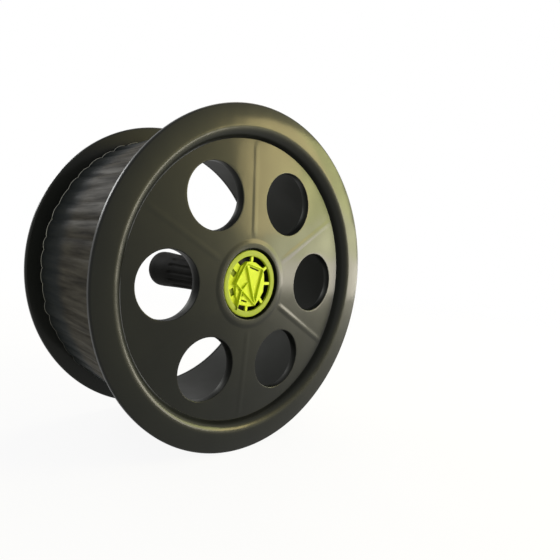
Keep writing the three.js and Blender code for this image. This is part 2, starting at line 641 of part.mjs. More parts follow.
// Ring with a skirt, and in it a plate with straight sides, on spokes with windows between them.
// A lower panel closes the windows at the left.
function hubCap() {
  const outerRadius = HUB_RADIUS - CAP_GAP;
  const ringInner = outerRadius - CAP_RING_WIDTH;
  const ringMiddle = outerRadius - CAP_RING_WIDTH / 2;
  const plateY = capY + CAP_PLATE_DROP;
  const plateBackY = plateY + CAP_PLATE_THICKNESS;
  const ring = revolve([
    [ringInner, capY],
    [outerRadius - CAP_CHAMFER, capY],
    [outerRadius, capY + CAP_CHAMFER],
    [outerRadius, capY + CAP_DEPTH],
    [outerRadius - CAP_SKIRT_WALL, capY + CAP_DEPTH],
    [outerRadius - CAP_SKIRT_WALL, capY + CAP_RING_THICKNESS],
    [ringInner, capY + CAP_RING_THICKNESS],
  ], CAP_FACETS);
  const plateRadius = CAP_PLATE_APOTHEM / Math.cos(Math.PI / CAP_PLATE_SIDES);
  const plateOutline = regularPolygon(plateRadius, CAP_PLATE_SIDES, CAP_PLATE_ANGLE);
  const plate = prism(polygon(plateOutline), plateY, plateBackY);
  const spokeSection = polygon([
    new THREE.Vector2(-CAP_SPOKE_WIDTH / 2, plateY),
    new THREE.Vector2(CAP_SPOKE_WIDTH / 2, plateY),
    new THREE.Vector2(CAP_SPOKE_WIDTH / 2, plateBackY),
    new THREE.Vector2(-CAP_SPOKE_WIDTH / 2, plateBackY),
  ]);
  const spokes = CAP_SPOKE_ANGLES.map(degrees => (
    bar(spokeSection, polar(CAP_RING_WIDTH, degrees), polar(ringMiddle, degrees))
  ));
  const [panelStart, panelEnd] = CAP_PANEL_ANGLES;
  const panelArc = regularPolygon(ringMiddle, CAP_FACETS, 0).filter((_, k) => {
    const degrees = k * 360 / CAP_FACETS;
    return degrees >= panelStart && degrees <= panelEnd;
  });
  const panelFoot = [polar(CAP_RING_WIDTH, panelEnd), polar(CAP_RING_WIDTH, panelStart)];
  const panelShape = polygon([...panelArc, ...panelFoot]);
  const panel = prism(panelShape, capY + CAP_PANEL_DROP, capY + CAP_RING_THICKNESS);
  const slotSection = polygon([
    new THREE.Vector2(-CAP_SLOT_WIDTH / 2, capY - CAP_RIB_HEIGHT - OVERSHOOT),
    new THREE.Vector2(CAP_SLOT_WIDTH / 2, capY - CAP_RIB_HEIGHT - OVERSHOOT),
    new THREE.Vector2(CAP_SLOT_WIDTH / 2, plateBackY + OVERSHOOT),
    new THREE.Vector2(-CAP_SLOT_WIDTH / 2, plateBackY + OVERSHOOT),
  ]);
  const slots = CAP_SLOTS.map(([from, to]) => (
    bar(slotSection, new THREE.Vector2(...from), new THREE.Vector2(...to))
  ));
  const body = join([ring, plate, ...spokes, panel, ...capRibs()]);
  return piece('hub_cap', toGeometry(body.subtract(join(slots))), 'lime');
}

// ---- Assembly -----------------------------------------------------------------------------------
const drum = new THREE.Group();
drum.add(frontFlange(), rearFlange(), drumBarrel(), flutedLiner());
drum.add(bearingCarrier(), retainingClip(), hubCap());

const hub = new THREE.Group();
hub.add(ballBearing('front_bearing', frontBearingY), ballBearing('rear_bearing', rearBearingY));

const handle = new THREE.Group();
handle.add(spindleBolt(), bearingSpacer(), lockNut());
handle.add(washer('head_washer', headWasherY), washer('handle_washer', handleWasherY));
handle.add(washer('nut_washer', nutWasherY));
handle.add(handleCore(), handleGrip(), handleEndCap());

const reel = new THREE.Group();
reel.add(drum, hub, handle);

export default reel;
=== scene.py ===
"""Looks of a hand-held wire reel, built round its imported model.

The reel lies along Y, its holed front looks towards -Y, and it stands on two rims. Everything
is in metres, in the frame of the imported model. Sizes are written in millimetres.
"""

import logging
from dataclasses import dataclass
from enum import Enum
from functools import cache
from typing import Any, ClassVar

import bmesh
import bpy
import numpy as np
from mathutils import Matrix, Vector


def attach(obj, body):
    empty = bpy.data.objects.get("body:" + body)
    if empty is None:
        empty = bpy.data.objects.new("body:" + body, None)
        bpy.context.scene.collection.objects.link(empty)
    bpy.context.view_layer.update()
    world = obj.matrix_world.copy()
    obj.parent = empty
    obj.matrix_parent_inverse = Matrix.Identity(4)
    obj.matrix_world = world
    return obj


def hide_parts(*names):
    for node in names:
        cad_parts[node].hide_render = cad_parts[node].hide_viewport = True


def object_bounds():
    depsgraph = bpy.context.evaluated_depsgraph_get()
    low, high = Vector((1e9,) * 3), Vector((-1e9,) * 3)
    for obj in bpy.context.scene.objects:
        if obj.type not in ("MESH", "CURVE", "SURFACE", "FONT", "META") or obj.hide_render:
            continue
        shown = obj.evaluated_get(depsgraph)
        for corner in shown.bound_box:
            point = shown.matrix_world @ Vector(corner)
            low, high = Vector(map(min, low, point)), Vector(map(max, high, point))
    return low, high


MM = 0.001
TAU = 2 * np.pi
WAVE_PERIOD = 0.314  # metres between the wave texture's bands at a scale of 1
CAMERA_PLACE = (-0.21109, -0.28368, 0.03091)
CAMERA_AXES = (
    (0.78787, -0.61271, 0.06200),
    (0.01871, 0.12444, 0.99205),
    (-0.61556, -0.78045, 0.10951),
)
CAMERA_LENS = 30.19
CAMERA_SHIFT = (0.1161, 0.0122)
FRONT_MIDDLE = (0, -0.0575, 0)

Material = bpy.types.Material
Point = tuple[float, float]
Socket = bpy.types.NodeSocket

log = logging.getLogger("wire_reel")
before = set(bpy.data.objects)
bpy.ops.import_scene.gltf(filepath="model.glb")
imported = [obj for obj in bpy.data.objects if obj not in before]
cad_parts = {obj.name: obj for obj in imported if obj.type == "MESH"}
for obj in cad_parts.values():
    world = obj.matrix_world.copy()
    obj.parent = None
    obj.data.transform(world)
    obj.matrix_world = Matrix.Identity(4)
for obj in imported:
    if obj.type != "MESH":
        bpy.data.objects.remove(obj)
CAD_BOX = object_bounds()


class Body(Enum):
    """The bodies that pieces ride on."""

    DRUM = "drum"
    HANDLE = "handle"
    FRONT_BALLS = "front_ball_set"
    REAR_BALLS = "rear_ball_set"


# ----------------------------------------
# Colours and nodes


def linear(code: str) -> tuple[float, float, float, float]:
    """Turn an sRGB hex code into linear light.

    Args:
        code: A colour such as "#2b2b28".

    Returns:
        Red, green, blue and alpha, as Blender's sockets take them.
    """
    channels = np.array([int(code[k : k + 2], 16) for k in (1, 3, 5)]) / 255
    light = np.where(channels <= 0.04045, channels / 12.92, ((channels + 0.055) / 1.055) ** 2.4)
    return (*(float(value) for value in light), 1.0)


class Tree:
    """A node tree, with a method for each node that the finishes share.

    What an input gets is a socket, which is linked, a hex code, which becomes a colour, or a
    plain value.
    """

    def __init__(self, tree: bpy.types.NodeTree) -> None:
        """Hold the tree."""
        self.tree = tree

    def feed(self, target: Socket, value: Any) -> None:
        """Link an input to a socket, or set its value."""
        if isinstance(value, Socket):
            self.tree.links.new(value, target)
        else:
            target.default_value = linear(value) if isinstance(value, str) else value

    def add(self, kind: str, settings: dict[str | int, Any] | None = None) -> Any:
        """Add one node.

        Args:
            kind: The node's type, without its "ShaderNode" prefix.
            settings: Values for the node's properties by name, and for its inputs by name or
                number.

        Returns:
            The node's outputs.
        """
        node = self.tree.nodes.new("ShaderNode" + kind)
        for key, value in (settings or {}).items():
            if isinstance(key, int) or key in node.inputs:
                self.feed(node.inputs[key], value)
            else:
                setattr(node, key, value)
        return node.outputs

    def place(self) -> Socket:
        """Object coordinates."""
        return self.add("TexCoord")["Object"]

    def math(self, operation: str, *values: Any) -> Socket:
        """One operation on one or two values."""
        return self.add("Math", {"operation": operation} | dict(enumerate(values)))[0]

    def length(self, vector: Socket) -> Socket:
        """Length of a vector."""
        return self.add("VectorMath", {"operation": "LENGTH", 0: vector})["Value"]

    def mix(self, share: Socket, first: Any, second: Any) -> Socket:
        """Blend from one colour to another."""
        return self.add("Mix", {"data_type": "RGBA", 0: share, 6: first, 7: second})[2]

    def noise(self, place: Socket, detail: float, size_mm: float = 1 / MM) -> Socket:
        """Noise whose clouds are about size_mm wide."""
        settings = {"Scale": 1 / (size_mm * MM), "Detail": detail, "Vector": place}
        return self.add("TexNoise", settings)["Fac"]

    def remap(
        self, value: Socket, source: Point = (0, 1), target: Point = (0, 1), smooth: bool = False
    ) -> Socket:
        """Carry one range to another, held at both ends.

        Args:
            value: What is carried.
            source: Where the range starts and ends.
            target: What its start and its end become.
            smooth: Whether it leaves both ends level.

        Returns:
            The result.
        """
        settings = {"interpolation_type": "SMOOTHSTEP" if smooth else "LINEAR", 0: value}
        return self.add("MapRange", settings | dict(enumerate((*source, *target), 1)))["Result"]

    def bump(self, height: Socket, strength: float, depth_mm: float, under: Any = None) -> Socket:
        """Relief from a height, over the normal of another relief where one is given."""
        settings = {"Strength": strength, "Distance": depth_mm * MM, "Height": height}
        if under is not None:
            settings["Normal"] = under
        return self.add("Bump", settings)["Normal"]


# ----------------------------------------
# Finishes


@dataclass(frozen=True)
class Finish:
    """A material with one Principled shader, for one of the record's slots."""

    name: str
    slot: str

    def inputs(self, tree: Tree) -> dict[str, Any]:
        """What the shader's inputs get, by name."""
        raise NotImplementedError


@cache
def material_of(finish: Finish) -> Material:
    """Build a finish's material, the first time that it is asked for."""
    material = bpy.data.materials.new(finish.name)
    material.use_nodes = True
    tree = Tree(material.node_tree)
    shader = material.node_tree.nodes["Principled BSDF"]
    for key, value in finish.inputs(tree).items():
        tree.feed(shader.inputs[key], value)
    return material


@dataclass(frozen=True)
class SatinMoulding(Finish):
    """High-impact polystyrene, injection moulded and satin: black, with broad soft highlights.

    The body spreads light widely, and the smooth skin over it keeps a sharper gloss. The mould's
    grain and slow waves of the wall bend both.
    """

    name: str = "satin_black_polystyrene"
    slot: str = "black_moulding"
    deep: str = "#090a09"
    pale: str = "#0f110f"
    sheen: str = "#fbfff0"
    roughness: Point = (0.4, 0.5)
    level: float = 0.13
    skin: float = 0.165
    wave_mm: float = 38.0
    grain_mm: float = 0.9  # drawn three times as coarse as the real grain, so that it shows

    def inputs(self, tree: Tree) -> dict[str, Any]:
        """Colour and gloss from the slow wave, relief from both."""
        place = tree.place()
        wave = tree.noise(place, 2.0, self.wave_mm)
        grain = tree.noise(place, 3.0, self.grain_mm)
        relief = tree.bump(grain, 0.05, 0.04, tree.bump(wave, 0.35, 1.2))
        return {
            "IOR": 1.5,
            "Specular IOR Level": self.level,
            "Specular Tint": self.sheen,
            "Coat Weight": self.skin,
            "Coat Roughness": 0.14,
            "Coat IOR": 1.5,
            "Base Color": tree.mix(wave, self.deep, self.pale),
            "Roughness": tree.remap(wave, (0.35, 0.65), self.roughness),
            "Normal": relief,
            "Coat Normal": relief,
        }


@dataclass(frozen=True)
class PleatedFilm(Finish):
    """Polyethylene film, blown and hot pleated: dark and satin, drawn into lengthwise streaks."""

    name: str = "pleated_polyethylene_film"
    slot: str = "liner_film"
    dark: str = "#282621"
    # streak colour: partly the film's own tone, partly painted reflection of the lamps
    light: str = "#4b483f"
    # painted shade of the rear flange on the film
    rear_shade_colour: str = "#23282a"
    # painted highlight on the film's cut edges, brighter higher up
    cut: str = "#c9c9c0"
    streaks_round: float = 165.0  # streaks round the drum, each about 4 mm wide
    streak_length_mm: float = 45.0
    wrinkle_mm: float = 5.0
    rear_shade_mm: Point = (8.0, 26.0)  # along the axis, where painted shade darkens the film towards the rear flange
    edge_highlight_mm: float = 52.0  # from the middle, where the painted highlight on the cut edges starts
    edge_highlight_rise_mm: Point = (-60.0, 30.0)  # up, where the painted highlight goes from dull to bright

    def inputs(self, tree: Tree) -> dict[str, Any]:
        """Streaks from noise stretched along the flutes, on the angle round the drum. Their paler
        colour is partly painted reflection; painted shade darkens the film towards the rear flange,
        and a painted highlight lies on its cut edges.
        """
        place = tree.place()
        x, y, z = tree.add("SeparateXYZ", {0: place})
        angle = tree.math("ARCTAN2", x, z)
        around = tree.math("MULTIPLY", angle, self.streaks_round / TAU)
        along = tree.math("MULTIPLY", y, 1 / (self.streak_length_mm * MM))
        streak = tree.noise(tree.add("CombineXYZ", {0: around, 1: along})[0], 3.0)
        # streak colours, partly painted reflection
        streaked = tree.mix(tree.remap(streak, (0.32, 0.66)), self.dark, self.light)
        # painted shade: darker towards the rear flange
        rear_shade = tree.remap(y, tuple(value * MM for value in self.rear_shade_mm), (0, 0.85), smooth=True)
        # painted highlight on the cut edges, fading downwards
        brink = self.edge_highlight_mm * MM
        rim = tree.remap(tree.math("ABSOLUTE", y), (brink, brink + 0.3 * MM))
        highlight_rise = tree.remap(z, tuple(value * MM for value in self.edge_highlight_rise_mm), (0.12, 1))
        edge_highlight = tree.math("MULTIPLY", rim, highlight_rise)
        wrinkle = tree.noise(place, 2.0, self.wrinkle_mm)
        return {
            "IOR": 1.33,
            "Specular IOR Level": 0.05,
            "Base Color": tree.mix(edge_highlight, tree.mix(rear_shade, streaked, self.rear_shade_colour), self.cut),
            "Roughness": tree.remap(streak, (0.3, 0.7), (0.62, 0.45)),
            "Normal": tree.bump(wrinkle, 0.25, 0.4, tree.bump(streak, 0.5, 0.5)),
        }


@dataclass(frozen=True)
class LimePolypropylene(Finish):
    """Polypropylene, built up in fine layers: bright lime, slightly see-through in thin walls.

    The layers leave faint steps, and the colour deepens a little where the wall is thick. The
    ring is scuffed paler than the star, and painted shade darkens its inside.
    """

    name: str = "lime_polypropylene"
    slot: str = "lime_plastic"
    bright: str = "#bccc1e"
    deep: str = "#aec414"
    scuffed: str = "#8a9a28"
    # painted shade: the colour that the cap turns to behind its front
    inside: str = "#20280a"
    layer_mm: float = 0.4
    cloud_mm: float = 6.0
    scuff_from_mm: float = 17.6  # radius
    # painted shade deepens over one millimetre behind this place
    painted_shade_from_mm: float = -51.9  # place along the axis

    def inputs(self, tree: Tree) -> dict[str, Any]:
        """A cloud of two limes, the scuffed ring, painted shade on the inside, and bands for the
        layers.
        """
        place = tree.place()
        x, y, z = tree.add("SeparateXYZ", {0: place})
        radius = tree.length(tree.add("CombineXYZ", {0: x, 1: z})[0])
        edge, depth = self.scuff_from_mm * MM, self.painted_shade_from_mm * MM
        bands = {"bands_direction": "Y", "Scale": WAVE_PERIOD / (self.layer_mm * MM)}
        layers = tree.add("TexWave", bands | {"Distortion": 0.6, "Vector": place})["Fac"]
        star = tree.mix(tree.noise(place, 2.0, self.cloud_mm), self.bright, self.deep)
        face = tree.mix(tree.remap(radius, (edge, edge + MM)), star, self.scuffed)
        return {
            "IOR": 1.49,
            "Roughness": 0.5,
            "Specular IOR Level": 0.2,
            "Subsurface Weight": 0.12,
            "Subsurface Radius": (0.0012, 0.0014, 0.0003),
            "Subsurface Scale": 1.0,
            # painted shade: behind the ring's front the colour turns to the inside colour
            "Base Color": tree.mix(tree.remap(y, (depth, depth + MM)), face, self.inside),
            "Normal": tree.bump(layers, 0.15, 0.05),
        }


@dataclass(frozen=True)
class BlackNylon(Finish):
    """Glass-filled nylon, moulded: charcoal, dull, with a faint mottle from the fibres."""

    name: str = "black_glass_filled_nylon"
    slot: str = "hub_nylon"
    dark: str = "#141415"
    light: str = "#222224"
    fibre_mm: float = 1.4

    def inputs(self, tree: Tree) -> dict[str, Any]:
        """One fibre mottle drives colour, gloss and relief."""
        mottle = tree.noise(tree.place(), 4.0, self.fibre_mm)
        return {
            "IOR": 1.53,
            "Specular IOR Level": 0.15,
            "Base Color": tree.mix(mottle, self.dark, self.light),
            "Roughness": tree.remap(mottle, target=(0.42, 0.62)),
            "Normal": tree.bump(mottle, 0.2, 0.08),
        }


@dataclass(frozen=True)
class PlatedSteel(Finish):
    """Mild steel, machined and then plated or ground: grey metal with turned rings or a spangle."""

    tint: str
    shade: str
    roughness: Point
    patch_mm: float
    ring_mm: float

    def inputs(self, tree: Tree) -> dict[str, Any]:
        """Patches of plating, and turning rings round the reel's axis."""
        place = tree.place()
        cells = {"Scale": 1 / (self.patch_mm * MM), "Vector": place}
        patch = tree.add("TexVoronoi", cells)["Distance"]
        rings = {"wave_type": "RINGS", "rings_direction": "Y", "Distortion": 1.0, "Vector": place}
        turned = tree.add("TexWave", rings | {"Scale": WAVE_PERIOD / (self.ring_mm * MM)})["Fac"]
        return {
            "Metallic": 1.0,
            "Base Color": tree.mix(patch, self.tint, self.shade),
            "Roughness": tree.remap(patch, target=self.roughness),
            "Normal": tree.bump(turned, 0.12, 0.03),
        }


@dataclass(frozen=True)
class GripRubber(Finish):
    """Thermoplastic rubber, moulded over a tube: matt near-black, with a pebbled skin."""

    name: str = "black_grip_rubber"
    slot: str = "grip_rubber"
    dark: str = "#11110f"
    worn: str = "#1d1d1a"
    pebble_mm: float = 1.1
    wear_mm: float = 16.0

    def inputs(self, tree: Tree) -> dict[str, Any]:
        """Pebbles for relief and a slow cloud for handled patches."""
        place = tree.place()
        cells = {"Scale": 1 / (self.pebble_mm * MM), "Vector": place}
        pebble = tree.add("TexVoronoi", cells)["Distance"]
        wear = tree.noise(place, 3.0, self.wear_mm)
        return {
            "IOR": 1.48,
            "Specular IOR Level": 0.06,
            "Base Color": tree.mix(wear, self.dark, self.worn),
            "Roughness": tree.remap(wear, target=(0.8, 0.58)),
            "Normal": tree.bump(pebble, 0.3, 0.12),
        }


MOULDING = SatinMoulding()
MATT_MOULDING = SatinMoulding(name="matt_black_polystyrene", level=0.15, skin=0.0)
FILM = PleatedFilm()
LIME = LimePolypropylene()
NYLON = BlackNylon()
ZINC = PlatedSteel("zinc_plated_steel", "zinc_steel", "#c3c5c1", "#a4a79f", (0.26, 0.44), 2.2, 0.5)
PHOSPHATE = PlatedSteel(
    "phosphated_spring_steel", "zinc_steel", "#1d1e1e", "#151616", (0.5, 0.7), 3.0, 0.5
)
GROUND = PlatedSteel(
    "ground_bearing_steel", "bearing_steel", "#d2d4d6", "#c2c5c8", (0.12, 0.2), 9.0, 0.35
)
RUBBER = GripRubber()


# ----------------------------------------
# Surfaces


def arc(centre: Point, radius: float, start: float, end: float, steps: int) -> np.ndarray:
    """Points on an arc in a section: centre plus radius times cosine and sine of the angle.

    Args:
        centre: The arc's middle, as radius from the axis and place along it.
        radius: The arc's radius.
        start: Its first angle in degrees, from the outward direction towards +Y.
        end: Its last angle.
        steps: How many chords it has.

    Returns:
        An array of steps + 1 rows of radius and y.
    """
    turn = np.radians(np.linspace(start, end, steps + 1))
    return np.column_stack([centre[0] + radius * np.cos(turn), centre[1] + radius * np.sin(turn)])


def turns(count: int) -> np.ndarray:
    """Angles in radians that part a turn evenly."""
    return np.arange(count) * TAU / count


def wrapped(radius: np.ndarray, along: np.ndarray, angles: np.ndarray) -> np.ndarray:
    """Carry radii round the Y axis: x is r cos a, z is r sin a, and y is the place along it.

    Args:
        radius: Rows by angles, or one column.
        along: Places along the axis, one column.
        angles: Angles round the axis in radians, one row, or rows by angles.

    Returns:
        A grid of points, rows by angles by three.
    """
    parts = np.broadcast_arrays(radius * np.cos(angles), along, radius * np.sin(angles))
    return np.stack(parts, axis=-1)


def revolved(outline: np.ndarray, angles: np.ndarray) -> np.ndarray:
    """Carry a section, rows of radius and y, round the Y axis through the angles."""
    return wrapped(outline[:, :1], outline[:, 1:], angles)


def stacked(rows: list[tuple[Any, float]], angles: np.ndarray) -> np.ndarray:
    """Carry rows round the Y axis: each has a radius, or one by angle, and a place along it."""
    radius = np.stack([np.broadcast_to(row, len(angles)) for row, _ in rows])
    return wrapped(radius, np.array([[along] for _, along in rows]), angles)


def spread_out(flat: np.ndarray, along: Any) -> np.ndarray:
    """Points from rows of x and z, and from their place or places along the axis."""
    return np.column_stack([flat[:, 0], np.broadcast_to(along, len(flat)), flat[:, 1]])


def oblong(width: float, start: float, end: float) -> np.ndarray:
    """Section of a bar: rows of distance across it and place along the reel's axis."""
    half = width / 2
    return np.array([(-half, start), (half, start), (half, end), (-half, end)])


def grid_faces(rows: int, columns: int, close_rows: bool) -> np.ndarray:
    """Quads of a grid whose last column joins the first.

    Args:
        rows: Points along the first direction.
        columns: Points along the second.
        close_rows: Whether the last row joins the first too.

    Returns:
        Rows of four point numbers.
    """
    row = np.arange(rows if close_rows else rows - 1)
    row, column = (part.ravel() for part in np.meshgrid(row, np.arange(columns), indexing="ij"))
    near, far = row * columns, (row + 1) % rows * columns
    after = (column + 1) % columns
    return np.column_stack([near + column, near + after, far + after, far + column])


def smooth_step(value: np.ndarray) -> np.ndarray:
    """Rise from 0 to 1 as 3t^2 - 2t^3, flat at both ends."""
    held = np.clip(value, 0, 1)
    return held * held * (3 - 2 * held)


class Shell:
    """Collects grids of points, in millimetres, and turns them into one closed piece."""

    def __init__(self) -> None:
        """Start with no points."""
        self.points: list[np.ndarray] = []
        self.faces: list[np.ndarray] = []
        self.count = 0

    def grid(self, points: np.ndarray, close_rows: bool = False) -> "Shell":
        """Add a grid of points, joined by quads, whose last column joins the first.

        Args:
            points: Rows by columns by three.
            close_rows: Whether the last row joins the first too.

        Returns:
            The shell.
        """
        rows, columns = points.shape[:2]
        self.faces.append(grid_faces(rows, columns, close_rows) + self.count)
        self.points.append(points.reshape(-1, 3))
        self.count += rows * columns
        return self

    def ring(self, outline: Any, segments: int) -> "Shell":
        """Add a section, rows of radius and y and closed on itself, carried round the axis."""
        return self.grid(revolved(np.asarray(outline), turns(segments)), close_rows=True)

    def bar(self, section: np.ndarray, start: Any, end: Any) -> None:
        """Add a bar with closed ends.

        Args:
            section: Rows of distance across the bar and place along the reel's axis.
            start: Where it starts on the front, right and up.
            end: Where it ends.
        """
        first, last = np.array(start), np.array(end)
        heading = (last - first) / np.linalg.norm(last - first)
        across = np.array([heading[1], -heading[0]])
        middle = section.mean(axis=0)
        rings = []
        for spot, scale in ((first, 0.0), (first, 1.0), (last, 1.0), (last, 0.0)):
            shape = middle + (section - middle) * scale
            rings.append(spread_out(spot + shape[:, :1] * across, shape[:, 1]))
        self.grid(np.stack(rings))

    def slab(self, outline: np.ndarray, start: float, end: float, broken: float = 0.25) -> None:
        """Add a flat slab with a broken front edge.

        Args:
            outline: Its edge, as rows of right and up, going once round.
            start: Place of its front along the axis.
            end: Place of its back.
            broken: How far its front edge is cut back.
        """
        centre = outline.mean(axis=0)
        pull = 1 - broken / np.linalg.norm(outline - centre, axis=1, keepdims=True)
        pole = centre + 0 * outline
        inset = centre + (outline - centre) * pull
        rows = [(pole, start), (inset, start), (outline, start + broken), (outline, end)]
        self.grid(np.stack([spread_out(flat, y) for flat, y in [*rows, (pole, end)]]))

    def mesh(self, name: str) -> bpy.types.Mesh:
        """Make a mesh, in metres, whose doubles are merged and whose faces point outwards."""
        mesh = bpy.data.meshes.new(name)
        mesh.from_pydata(np.vstack(self.points) * MM, [], np.vstack(self.faces).tolist())
        work = bmesh.new()
        work.from_mesh(mesh)
        bmesh.ops.remove_doubles(work, verts=work.verts, dist=2e-6)
        bmesh.ops.dissolve_degenerate(work, edges=work.edges, dist=1e-7)
        bmesh.ops.recalc_face_normals(work, faces=work.faces)
        if any(len(edge.link_faces) != 2 for edge in work.edges):
            log.warning("%s isn't closed", name)
        work.to_mesh(mesh)
        work.free()
        return mesh

    def piece(
        self, name: str, finish: Finish, body: Body, *nodes: str, sharp: float = 38.0
    ) -> bpy.types.Object:
        """Make the piece: shade its mesh smooth, give it its finish, and place it.

        Args:
            name: The object's name.
            finish: Its finish.
            body: The body that it rides on.
            *nodes: The CAD nodes that it stands for.
            sharp: Edges that turn by more degrees than this stay sharp.

        Returns:
            The finished object, at the origin.
        """
        mesh = self.mesh(name)
        shade(mesh, sharp)
        mesh.materials.append(material_of(finish))
        obj = placed(name, mesh)
        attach(obj, body.value)
        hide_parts(*nodes)
        log.info("%s: %d faces, rides on %s", name, len(mesh.polygons), body.value)
        return obj


def shade(mesh: bpy.types.Mesh, sharp: float) -> None:
    """Shade a mesh smooth, apart from edges that turn by more than so many degrees."""
    mesh.shade_smooth()
    mesh.set_sharp_from_angle(angle=np.radians(sharp))


def placed(name: str, data: bpy.types.ID | None) -> bpy.types.Object:
    """Put data into the scene as an object of that name, at the origin."""
    obj = bpy.data.objects.new(name, data)
    bpy.context.scene.collection.objects.link(obj)
    return obj


# ----------------------------------------
# Sub-assemblies


@dataclass
class ReelSizes:
    """Sizes in millimetres that several pieces of the reel share."""

    width: float = 115.0
    flange_radius: float = 114.1  # inside the facets of the CAD rim
    band_thickness: float = 4.6
    band_tilt: float = 4.0
    band_turn: float = 7.0
    rim_round: float = 1.3
    rear_lip_round: float = 1.6
    drum_radius: float = 101.0
    bore_radius: float = 98.8
    seat_depth: float = 2.0
    fit: float = 0.3

    @property
    def lip_y(self) -> float:
        """Place of the front lip along the axis."""
        return -self.width / 2

    @property
    def band_back_y(self) -> float:
        """Place of the front band's inner face along the axis."""
        return self.lip_y + self.band_thickness

    def band(self, lip_end: float, lip_round: float, lean: float = 0.0) -> np.ndarray:
        """Section of a flange's outer band, from its rounded lip over the crest to its inner face.

        The lip comes level at the crest. From there the band turns outwards at a steady rate,
        so that it falls as the square of the way, and then runs straight to its rounded rim.

        Args:
            lip_end: Radius of the crest, where the lip's rounding comes level.
            lip_round: Radius of that rounding.
            lean: Degrees by which the wall below the lip leans outwards.

        Returns:
            Rows of radius and of distance from the crest's plane.
        """
        slope = np.tan(np.radians(self.band_tilt))
        rim, thick = self.rim_round, self.band_thickness
        lip = arc((lip_end, lip_round), lip_round, 180 + lean, 270, 24)
        way = np.linspace(0, self.band_turn, 10)[1:]
        crown = np.column_stack([lip_end + way, slope * way**2 / (2 * self.band_turn)])
        rim_x = self.flange_radius - rim
        fall = crown[-1, 1] + slope * (rim_x + rim * slope - crown[-1, 0])
        front = arc((rim_x, fall + rim), rim, self.band_tilt - 90, 0, 8)
        back = arc((rim_x, thick - rim), rim, 0, 90, 8)
        return np.vstack([lip, crown, front, back])


